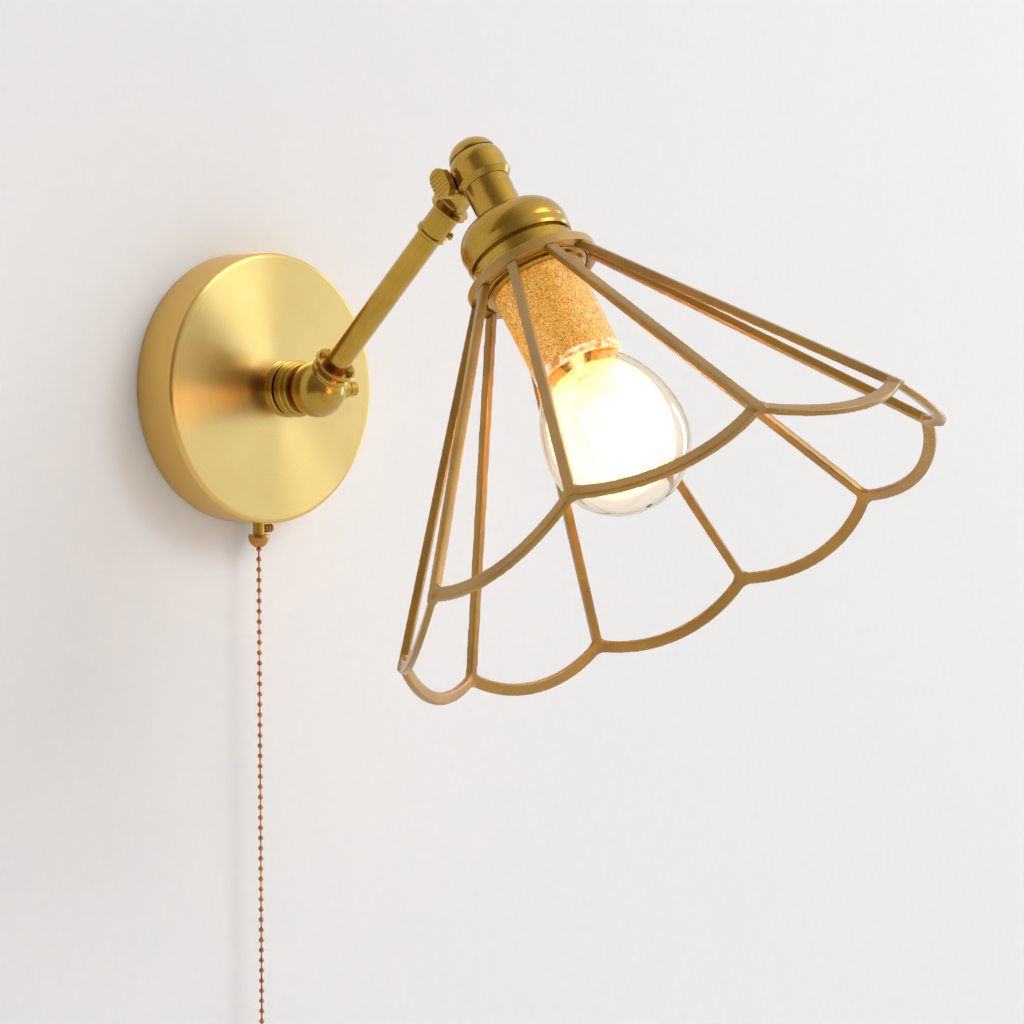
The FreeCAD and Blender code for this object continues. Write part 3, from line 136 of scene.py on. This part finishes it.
# ---------------------------------------------------------------- node helpers
class Shader:
    """A material's node tree, with short calls for the nodes used here."""

    def __init__(self, name):
        self.material = bpy.data.materials.new(name)
        self.material.use_nodes = True
        self.nodes = self.material.node_tree.nodes
        self.links = self.material.node_tree.links
        self.surface = self.nodes["Principled BSDF"]
        self.output = self.nodes["Material Output"]

    def add(self, kind, **settings):
        node = self.nodes.new(kind)
        for key, value in settings.items():
            setattr(node, key, value)
        return node

    def link(self, source, target):
        self.links.new(source, target)

    def place(self, stretch=(1, 1, 1), turn=(0, 0, 0)):
        """The piece's own coordinates, in metres, stretched and turned."""
        coordinates = self.add("ShaderNodeTexCoord")
        mapping = self.add("ShaderNodeMapping")
        mapping.inputs["Scale"].default_value = stretch
        mapping.inputs["Rotation"].default_value = [math.radians(a) for a in turn]
        self.link(coordinates.outputs["Object"], mapping.inputs["Vector"])
        return mapping.outputs["Vector"]

    def noise(self, vector, scale, detail=3.0, roughness=0.5):
        node = self.add("ShaderNodeTexNoise")
        node.inputs["Scale"].default_value = scale
        node.inputs["Detail"].default_value = detail
        node.inputs["Roughness"].default_value = roughness
        self.link(vector, node.inputs["Vector"])
        return node.outputs["Fac"]

    def cells(self, vector, scale):
        node = self.add("ShaderNodeTexVoronoi")
        node.inputs["Scale"].default_value = scale
        self.link(vector, node.inputs["Vector"])
        return node

    def ramp(self, value, stops):
        """Colours at given values. A stop is (value, (r, g, b))."""
        node = self.add("ShaderNodeValToRGB")
        elements = node.color_ramp.elements
        while len(elements) < len(stops):
            elements.new(0.5)
        for element, (at, colour) in zip(elements, stops):
            element.position = at
            element.color = (*colour, 1)
        self.link(value, node.inputs["Fac"])
        return node.outputs["Color"]

    def levels(self, value, low_in, high_in, low_out, high_out):
        node = self.add("ShaderNodeMapRange")
        node.inputs["From Min"].default_value = low_in
        node.inputs["From Max"].default_value = high_in
        node.inputs["To Min"].default_value = low_out
        node.inputs["To Max"].default_value = high_out
        self.link(value, node.inputs["Value"])
        return node.outputs["Result"]

    def mix(self, factor, first, second, blend="MIX"):
        """Mixes two colours. A colour is an output or a plain (r, g, b)."""
        node = self.add("ShaderNodeMix", data_type="RGBA", blend_type=blend)
        colour_sockets = [s for s in node.inputs if s.type == "RGBA"]
        if isinstance(factor, (int, float)):
            node.inputs["Factor"].default_value = factor
        else:
            self.link(factor, node.inputs["Factor"])
        for socket, colour in zip(colour_sockets, (first, second)):
            if isinstance(colour, tuple):
                socket.default_value = (*colour, 1)
            else:
                self.link(colour, socket)
        return [s for s in node.outputs if s.type == "RGBA"][0]

    def worn_edges(self, colour, worn, amount):
        """Lighter colour where the shape is sharply convex."""
        geometry = self.add("ShaderNodeNewGeometry")
        edge = self.levels(geometry.outputs["Pointiness"], 0.53, 0.62, 0.0, amount)
        return self.mix(edge, colour, worn)

    def bump(self, height, strength, distance=0.0002):
        node = self.add("ShaderNodeBump")
        node.inputs["Strength"].default_value = strength
        node.inputs["Distance"].default_value = distance
        self.link(height, node.inputs["Height"])
        self.link(node.outputs["Normal"], self.surface.inputs["Normal"])

    def set(self, socket, value):
        self.surface.inputs[socket].default_value = value


# ---------------------------------------------------------------- materials
def brass(name, dark, light, worn, roughness, grain_stretch, grain_turn=(0, 0, 0),
          grain=0.008, spread=0.04, metallic=1.0, dense=False, edge_wear=0.7):
    """Brass with cloudy colour, a fine directional grain and rubbed, lighter places.

    On a dense mesh the rubbed places are its sharp edges."""
    shader = Shader(name)
    cloud = shader.noise(shader.place(), 38, 3)
    colour = shader.ramp(cloud, [(0.35, dark), (0.65, light)])
    streaks = shader.noise(shader.place(grain_stretch, grain_turn), 1, 2)
    streak_tint = shader.levels(streaks, 0.3, 0.7, 0.0, 0.25)
    colour = shader.mix(streak_tint, colour, light)
    if dense:
        colour = shader.worn_edges(colour, worn, edge_wear)
    else:
        rubbed = shader.noise(shader.place(), 130, 5, 0.7)
        colour = shader.mix(shader.levels(rubbed, 0.60, 0.75, 0.0, 0.2), colour, worn)
    shader.link(colour, shader.surface.inputs["Base Color"])
    shader.set("Metallic", metallic)
    rough = shader.levels(streaks, 0.25, 0.75, roughness - spread, roughness + spread)
    shader.link(rough, shader.surface.inputs["Roughness"])
    shader.set("Coat Weight", 0.4)
    shader.set("Coat Roughness", 0.16)
    shader.bump(streaks, grain, 0.00005)
    return shader


def spun_brass():
    """The plate: face brushed in circles, so that light gathers in lobes."""
    shader = Shader("brushed_brass")
    vector = shader.place()
    separate = shader.add("ShaderNodeSeparateXYZ")
    shader.link(vector, separate.inputs["Vector"])
    radius = shader.add("ShaderNodeVectorMath", operation="LENGTH")
    flat = shader.add("ShaderNodeCombineXYZ")
    shader.link(separate.outputs["X"], flat.inputs["X"])
    shader.link(separate.outputs["Z"], flat.inputs["Y"])
    shader.link(flat.outputs["Vector"], radius.inputs[0])
    rings_at = shader.add("ShaderNodeCombineXYZ")
    shader.link(radius.outputs["Value"], rings_at.inputs["X"])
    rings = shader.noise(rings_at.outputs["Vector"], 2600, 2)
    cloud = shader.noise(vector, 22, 4)
    colour = shader.ramp(cloud, [(0.3, (0.72, 0.53, 0.18)), (0.7, (0.80, 0.62, 0.25))])
    tint = shader.levels(rings, 0.3, 0.7, 0.0, 0.25)
    colour = shader.mix(tint, colour, (0.88, 0.75, 0.40))
    polished_rim = shader.levels(radius.outputs["Value"], PLATE_RIM_START, PLATE_RIM_END,
                                 0.0, 1.0)
    colour = shader.mix(polished_rim, colour, (0.78, 0.50, 0.14))
    shader.link(colour, shader.surface.inputs["Base Color"])
    shader.set("Metallic", 1.0)
    rough = shader.levels(rings, 0.25, 0.75, 0.26, 0.34)
    shader.link(rough, shader.surface.inputs["Roughness"])
    shader.set("Anisotropic", 0.85)
    shader.set("Anisotropic Rotation", 0.25)
    tangent = shader.add("ShaderNodeTangent", direction_type="RADIAL", axis="Y")
    shader.link(tangent.outputs["Tangent"], shader.surface.inputs["Tangent"])
    shader.bump(rings, 0.06, 0.0001)
    return shader.material


def amber_sleeve():
    """Granular amber sleeve with a painted glow: it gives out its own colour as light, standing
    for the lamp's light that comes through it.
    """
    shader = Shader("amber_sleeve")
    vector = shader.place()
    grains = shader.cells(vector, 2300)
    fine = shader.noise(vector, 3600, 2)
    lit = shader.ramp(grains.outputs["Color"], [
        (0.08, (0.34, 0.10, 0.004)), (0.38, (0.80, 0.34, 0.03)),
        (0.68, (1.0, 0.55, 0.09)), (0.92, (1.0, 0.90, 0.44))])
    colour = shader.mix(shader.levels(fine, 0.42, 0.62, 0.0, 0.5), lit, (0.50, 0.19, 0.01))
    shader.link(colour, shader.surface.inputs["Base Color"])
    # Painted glow: the sleeve's colour is also given out as light.
    shader.link(colour, shader.surface.inputs["Emission Color"])
    shader.set("Emission Strength", 0.44)
    shader.set("Metallic", 0.2)
    rough = shader.levels(fine, 0.3, 0.7, 0.22, 0.45)
    shader.link(rough, shader.surface.inputs["Roughness"])
    shader.set("Coat Weight", 0.5)
    shader.set("Coat Roughness", 0.12)
    shader.bump(grains.outputs["Distance"], 0.35, 0.0003)
    return shader.material


def coated(name, dark, light, roughness, metallic=0.0):
    """Moulded, glazed or plated surface with faint clouds and a fine grain."""
    shader = Shader(name)
    vector = shader.place()
    cloud = shader.noise(vector, 60, 4)
    shader.link(shader.ramp(cloud, [(0.3, dark), (0.7, light)]),
                shader.surface.inputs["Base Color"])
    fine = shader.noise(vector, 900, 3)
    shader.link(shader.levels(fine, 0.3, 0.7, roughness * 0.75, roughness * 1.25),
                shader.surface.inputs["Roughness"])
    shader.set("Metallic", metallic)
    shader.bump(fine, 0.12, 0.0001)
    return shader


def switch_surface():
    """Black moulded switch body with a brass nozzle where it comes through the plate."""
    shader = coated("switch_plastic", (0.03, 0.03, 0.03), (0.06, 0.06, 0.06), 0.4)
    black = shader.surface.inputs["Base Color"].links[0].from_socket
    separate = shader.add("ShaderNodeSeparateXYZ")
    shader.link(shader.place(), separate.inputs["Vector"])
    nozzle = shader.levels(separate.outputs["Z"], NOZZLE_FULL, NOZZLE_START, 1.0, 0.0)
    shader.link(shader.mix(nozzle, black, (0.54, 0.335, 0.045)),
                shader.surface.inputs["Base Color"])
    shader.link(nozzle, shader.surface.inputs["Metallic"])
    return shader.material


def rim_with_painted_glow():
    """Ribbed rim of the sleeve, glittering between pale cream and amber, with a painted glow: it
    gives out its own colour as light.
    """
    shader = Shader("pale_band")
    vector = shader.place()
    cloud = shader.noise(vector, 260, 4)
    colour = shader.ramp(cloud, [(0.34, (0.62, 0.30, 0.06)), (0.48, (0.95, 0.74, 0.40)),
                                 (0.62, (1.0, 0.93, 0.76))])
    shader.link(colour, shader.surface.inputs["Base Color"])
    # Painted glow: the rim's colour is also given out as light.
    shader.link(colour, shader.surface.inputs["Emission Color"])
    shader.set("Emission Strength", 0.35)
    rough = shader.levels(cloud, 0.3, 0.7, 0.12, 0.3)
    shader.link(rough, shader.surface.inputs["Roughness"])
    shader.bump(cloud, 0.3, 0.0003)
    return shader.material


def lamp_glow(centre):
    """Light that fills the lit bulb: white in the middle, cream towards the glass."""
    shader = Shader("lamp_glow")
    drift = shader.noise(shader.place(), 60, 2)
    away = shader.add("ShaderNodeVectorMath", operation="DISTANCE")
    shader.link(shader.place(), away.inputs[0])
    away.inputs[1].default_value = centre
    outward = shader.levels(away.outputs["Value"], GLOW_CORE_RADIUS, GLOW_OUTER_RADIUS, 0.0, 1.0)
    haze = shader.ramp(outward, [
        (0.0, (1.0, 0.96, 0.88)), (0.45, (0.80, 0.74, 0.63)), (1.0, (0.64, 0.56, 0.44))])
    colour = shader.mix(shader.levels(drift, 0.3, 0.7, 0.0, 0.2), haze, (0.90, 0.82, 0.70))
    shader.link(colour, shader.surface.inputs["Base Color"])
    shader.link(colour, shader.surface.inputs["Emission Color"])
    shader.set("Emission Strength", 1.45)
    shader.set("Alpha", 0.11)
    shader.set("Specular IOR Level", 0.0)
    shader.set("Roughness", 1.0)
    return shader.material


def clear_glass():
    """Blown glass with a faint warm tint, a painted warm reflection in gold along its outline,
    and slight waviness.
    """
    shader = Shader("clear_glass")
    vector = shader.place()
    waves = shader.noise(vector, 55, 2)
    tint = shader.ramp(waves, [(0.3, (1.0, 0.95, 0.85)), (0.7, (1.0, 0.975, 0.92))])
    # Painted warm reflection: the colour turns gold where the glass is seen edge-on.
    outline = shader.add("ShaderNodeLayerWeight")
    outline.inputs["Blend"].default_value = 0.5
    edge = shader.levels(outline.outputs["Facing"], 0.60, 0.95, 0.0, 0.9)
    tint = shader.mix(edge, tint, (0.66, 0.42, 0.13))
    shader.link(tint, shader.surface.inputs["Base Color"])
    shader.link(shader.levels(waves, 0.3, 0.7, 0.0, 0.03), shader.surface.inputs["Roughness"])
    shader.set("Transmission Weight", 1.0)
    shader.set("Specular Tint", (1.0, 0.78, 0.42, 1.0))
    shader.set("IOR", 1.45)
    shader.bump(waves, 0.08, 0.0004)
    return shader.material


def glowing(name, low, high, strength):
    """Surface that gives light, slightly uneven in colour."""
    shader = Shader(name)
    vector = shader.place()
    grain = shader.noise(vector, 700, 2)
    colour = shader.ramp(grain, [(0.3, low), (0.7, high)])
    shader.link(colour, shader.surface.inputs["Base Color"])
    shader.link(colour, shader.surface.inputs["Emission Color"])
    shader.set("Emission Strength", strength)
    shader.set("Roughness", 0.5)
    return shader.material


def make_materials():
    """All materials by name. Each brass has a darker, a lighter and a rubbed colour."""
    satin = ((0.44, 0.245, 0.024), (0.55, 0.33, 0.040), (0.66, 0.44, 0.10))
    return {
        "brushed_brass": spun_brass(),
        "satin_brass": brass("satin_brass", *satin, 0.26, (2600, 2600, 90),
                             (-HEAD_TILT, 0, 0)).material,
        "satin_arm": brass("satin_arm", *satin, 0.20, (2600, 2600, 90),
                           (90 - ARM_ELEVATION, 0, 0)).material,
        "polished_brass": brass("polished_brass", (0.46, 0.265, 0.03), (0.57, 0.355, 0.055),
                                (0.72, 0.49, 0.13), 0.22, (700, 700, 700),
                                grain=0.01).material,
        "cage_brass": brass("cage_brass", (0.36, 0.180, 0.022), (0.47, 0.25, 0.036),
                            (0.74, 0.49, 0.15), 0.34, (500, 500, 500), grain=0.04,
                            metallic=0.35, dense=True, edge_wear=0.3).material,
        "guide_brass": brass("guide_brass", (0.48, 0.20, 0.03), (0.64, 0.32, 0.065),
                             (0.85, 0.52, 0.17), 0.24, (700, 700, 700)).material,
        "chain_copper": brass("chain_copper", (0.30, 0.075, 0.012), (0.50, 0.175, 0.04),
                              (0.78, 0.38, 0.15), 0.24, (900, 900, 900),
                              metallic=0.85, dense=True).material,
        "zinc_steel": coated("zinc_steel", (0.50, 0.50, 0.49), (0.66, 0.66, 0.64), 0.35,
                             metallic=1.0).material,
        "green_steel": coated("green_steel", (0.05, 0.24, 0.08), (0.10, 0.36, 0.14), 0.35,
                              metallic=0.6).material,
        "switch_plastic": switch_surface(),
        "dark_washer": coated("dark_washer", (0.020, 0.017, 0.014), (0.045, 0.038, 0.03),
                              0.45).material,
        "amber_sleeve": amber_sleeve(),
        "pale_band": rim_with_painted_glow(),
        "porcelain": coated("porcelain", (0.80, 0.79, 0.75), (0.88, 0.87, 0.83),
                            0.18).material,
        "clear_glass": clear_glass(),
        "mount_glass": clear_glass(),
        "nickel_cap": coated("nickel_cap", (0.62, 0.60, 0.55), (0.78, 0.76, 0.72), 0.22,
                             metallic=1.0).material,
        "glowing_filament": glowing("glowing_filament", (1.0, 0.72, 0.36),
                                    (1.0, 0.86, 0.60), 8.0),
    }


def dress_nodes(materials):
    """Gives every CAD node the material of its record slot, or its own shade of brass."""
    slots = {entry["node"]: entry["material_slot"] for entry in frame["record"]["subparts"]}
    slots.update({"arm_tube": "satin_arm", "arm_sleeve": "satin_arm",
                  "chain_guide": "guide_brass", "guide_screw": "guide_brass"})
    for name, slot in slots.items():
        for holder in frame["nodes"][name].material_slots:
            holder.material = materials[slot]


# ---------------------------------------------------------------- chain
def make_chain(materials):
    """Bead chain along the straight line that it hangs in."""
    top = Vector((0, -CHAIN_DEPTH, CHAIN_TOP))
    bottom = Vector((0, -CHAIN_DEPTH, CHAIN_TOP - CHAIN_LENGTH))
    mesh = bpy.data.meshes.new("bead_chain")
    work = bmesh.new()
    count = int(round(CHAIN_LENGTH / BEAD_PITCH))
    for number in range(count):
        centre = top + (bottom - top) * ((number + 0.5) / count)
        bead = bmesh.ops.create_uvsphere(work, u_segments=16, v_segments=10,
                                         radius=CHAIN_DIAMETER / 2)
        bmesh.ops.translate(work, verts=bead["verts"], vec=centre)
    link = bmesh.ops.create_cone(work, cap_ends=True, segments=8, radius1=LINK_RADIUS,
                                 radius2=LINK_RADIUS, depth=CHAIN_LENGTH)
    bmesh.ops.translate(work, verts=link["verts"], vec=(top + bottom) / 2)
    for face in work.faces:
        face.smooth = True
    work.to_mesh(mesh)
    work.free()
    mesh.materials.append(materials["chain_copper"])
    chain = bpy.data.objects.new("bead_chain", mesh)
    bpy.context.scene.collection.objects.link(chain)
    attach(chain, "chain")
    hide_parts("pull_chain")


# ---------------------------------------------------------------- cage and lamp glow
def head_frame():
    """Matrix of the head's own axes: Z down the head, Y towards its front side."""
    elevation = math.radians(ARM_ELEVATION)
    pivot = Vector((0, -ELBOW_DISTANCE - ARM_LENGTH * math.cos(elevation),
                    ARM_LENGTH * math.sin(elevation)))
    turn = Matrix.Rotation(math.radians(180 - HEAD_TILT), 4, "X")
    origin = pivot + turn @ Vector((0, PIVOT_OFFSET, PIVOT_HEIGHT))
    return Matrix.Translation(origin) @ turn


def make_cage(materials):
    """The ribs and scallops as one welded wire cage, with soft edges and filled joints."""
    work = bmesh.new()
    for name in ("shade_ribs", "shade_scallops"):
        work.from_mesh(frame["nodes"][name].data)
    slope = math.atan2(SHADE_RIM_RADIUS, SHADE_DROP)
    for number in range(PETAL_COUNT):
        spoke = Matrix.Rotation(math.radians(RIB_PHASE + 360 / PETAL_COUNT * number), 4, "Z")
        place = (head_frame() @ spoke @ Matrix.Translation((SHADE_RIM_RADIUS, 0, SHADE_DROP))
                 @ Matrix.Rotation(slope, 4, "Y") @ Matrix.Diagonal((*WELD_HALF_SIZES, 1)))
        bmesh.ops.create_uvsphere(work, u_segments=20, v_segments=12, radius=1, matrix=place)
    mesh = bpy.data.meshes.new("cage")
    work.to_mesh(mesh)
    work.free()
    cage = bpy.data.objects.new("cage", mesh)
    bpy.context.scene.collection.objects.link(cage)
    weld = cage.modifiers.new("weld", "REMESH")
    weld.mode = "VOXEL"
    weld.voxel_size = CAGE_VOXEL
    weld.use_smooth_shade = True
    soften = cage.modifiers.new("soften", "SMOOTH")
    soften.factor = 0.5
    soften.iterations = CAGE_SMOOTHING_STEPS
    graph = bpy.context.evaluated_depsgraph_get()
    finished = bpy.data.meshes.new_from_object(cage.evaluated_get(graph))
    cage.modifiers.clear()
    cage.data = finished
    finished.materials.clear()
    finished.materials.append(materials["cage_brass"])
    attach(cage, "head")
    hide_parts("shade_ribs", "shade_scallops")


def make_glow():
    """Nested soft shells of light round the filaments."""
    work = bmesh.new()
    profile_steps = 20
    around = 40
    for radius, reach in GLOW_SHELLS:
        rings = []
        for step in range(profile_steps + 1):
            angle = math.pi * step / profile_steps
            height = BULB_CENTRE - GLOW_SHIFT - reach / 2 * math.cos(angle) * GLOW_STRETCH
            width = GLOW_TIP_RADIUS
            if 0 < step < profile_steps:
                width = radius * math.sin(angle) ** GLOW_FULLNESS
            rings.append([work.verts.new((width * math.cos(2 * math.pi * k / around),
                                          width * math.sin(2 * math.pi * k / around), height))
                          for k in range(around)])
        for low, high in zip(rings, rings[1:]):
            for k in range(around):
                following = (k + 1) % around
                face = work.faces.new((low[k], low[following], high[following], high[k]))
                face.smooth = True
    bmesh.ops.transform(work, matrix=head_frame(), verts=work.verts)
    mesh = bpy.data.meshes.new("lamp_glow")
    work.to_mesh(mesh)
    work.free()
    core = head_frame() @ Vector((0, 0, BULB_CENTRE - GLOW_CORE_SHIFT))
    mesh.materials.append(lamp_glow(core))
    glow = bpy.data.objects.new("lamp_glow", mesh)
    bpy.context.scene.collection.objects.link(glow)
    glow.visible_glossy = False
    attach(glow, "head")


# ---------------------------------------------------------------- stage and light
def stage_material(name, colour):
    """Pale surface that shows only from its front, so that views from behind stay clear."""
    shader = Shader(name)
    grain = shader.noise(shader.place(), 160, 5)
    shader.link(shader.ramp(grain, [(0.3, colour), (0.7, tuple(c * 0.985 for c in colour))]),
                shader.surface.inputs["Base Color"])
    shader.set("Roughness", 0.9)
    shader.set("Specular IOR Level", 0.2)
    shader.bump(shader.noise(shader.place(), 420, 4), 0.06, 0.0006)
    geometry = shader.add("ShaderNodeNewGeometry")
    clear = shader.add("ShaderNodeBsdfTransparent")
    blend = shader.add("ShaderNodeMixShader")
    shader.link(geometry.outputs["Backfacing"], blend.inputs["Fac"])
    shader.link(shader.surface.outputs["BSDF"], blend.inputs[1])
    shader.link(clear.outputs["BSDF"], blend.inputs[2])
    shader.link(blend.outputs["Shader"], shader.output.inputs["Surface"])
    return shader.material


def make_plane(name, corners, material):
    """One flat face of the stage."""
    mesh = bpy.data.meshes.new(name)
    mesh.from_pydata(corners, [], [tuple(range(len(corners)))])
    mesh.materials.append(material)
    plane = bpy.data.objects.new(name, mesh)
    bpy.context.scene.collection.objects.link(plane)


def make_stage():
    """The wall just behind the plate, and a floor below the picture."""
    pale = stage_material("pale_wall", WALL_COLOUR)
    foot_left = (-STAGE_REACH, WALL_PLACE, FLOOR_HEIGHT)
    foot_right = (STAGE_REACH, WALL_PLACE, FLOOR_HEIGHT)
    make_plane("wall", [foot_left, foot_right, (STAGE_REACH, WALL_PLACE, STAGE_REACH),
                        (-STAGE_REACH, WALL_PLACE, STAGE_REACH)], pale)
    make_plane("floor", [(-STAGE_REACH, -STAGE_REACH, FLOOR_HEIGHT),
                         (STAGE_REACH, -STAGE_REACH, FLOOR_HEIGHT), foot_right, foot_left], pale)


def make_world():
    """A room that is brightest to the upper right, as a large soft window would make it."""
    world = bpy.data.worlds.new("studio")
    bpy.context.scene.world = world
    world.use_nodes = True
    nodes = world.node_tree.nodes
    links = world.node_tree.links
    nodes.clear()
    output = nodes.new("ShaderNodeOutputWorld")
    direction = nodes.new("ShaderNodeTexCoord")
    towards = nodes.new("ShaderNodeVectorMath")
    towards.operation = "DOT_PRODUCT"
    towards.inputs[1].default_value = ROOM_BRIGHTEST.normalized()
    links.new(direction.outputs["Generated"], towards.inputs[0])
    spread = nodes.new("ShaderNodeMapRange")
    spread.inputs["From Min"].default_value = -1.0
    links.new(towards.outputs["Value"], spread.inputs["Value"])
    ramp = nodes.new("ShaderNodeValToRGB")
    elements = ramp.color_ramp.elements
    while len(elements) < len(ROOM_LEVELS):
        elements.new(0.5)
    for element, (at, colour) in zip(elements, ROOM_LEVELS):
        element.position = at
        element.color = (*colour, 1)
    links.new(spread.outputs["Result"], ramp.inputs["Fac"])
    room = nodes.new("ShaderNodeBackground")
    links.new(ramp.outputs["Color"], room.inputs["Color"])
    seen = nodes.new("ShaderNodeBackground")
    seen.inputs["Color"].default_value = (*ROOM_SEEN, 1)
    path = nodes.new("ShaderNodeLightPath")
    either = nodes.new("ShaderNodeMath")
    either.operation = "MAXIMUM"
    links.new(path.outputs["Is Camera Ray"], either.inputs[0])
    links.new(path.outputs["Is Transmission Ray"], either.inputs[1])
    blend = nodes.new("ShaderNodeMixShader")
    links.new(either.outputs["Value"], blend.inputs["Fac"])
    links.new(room.outputs["Background"], blend.inputs[1])
    links.new(seen.outputs["Background"], blend.inputs[2])
    links.new(blend.outputs["Shader"], output.inputs["Surface"])


def add_area(name, place, target, width, height, power):
    """Soft rectangular light at a place, turned to its target."""
    data = bpy.data.lights.new(name, "AREA")
    data.shape = "RECTANGLE"
    data.size = width
    data.size_y = height
    data.energy = power
    lamp = bpy.data.objects.new(name, data)
    direction = Vector(target) - Vector(place)
    lamp.rotation_euler = direction.to_track_quat("-Z", "Y").to_euler()
    lamp.location = place
    bpy.context.scene.collection.objects.link(lamp)
    return lamp


def make_lights():
    """A soft key light, a side light for the metal alone, and the lit bulb's warm light."""
    add_area(*KEY_LIGHT)
    side = add_area(*SIDE_LIGHT)
    side.visible_diffuse = False
    low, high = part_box("bulb_filaments")
    glow = bpy.data.lights.new("bulb_light", "POINT")
    glow.energy = BULB_POWER
    glow.color = BULB_COLOUR
    glow.shadow_soft_size = BULB_LIGHT_RADIUS
    lamp = bpy.data.objects.new("bulb_light", glow)
    lamp.location = (Vector(low) + Vector(high)) / 2
    lamp.visible_glossy = False
    bpy.context.scene.collection.objects.link(lamp)


bpy.context.scene.view_settings.view_transform = "Standard"
make_camera()
surfaces = make_materials()
dress_nodes(surfaces)
make_chain(surfaces)
make_cage(surfaces)
make_glow()
make_stage()
make_world()
make_lights()
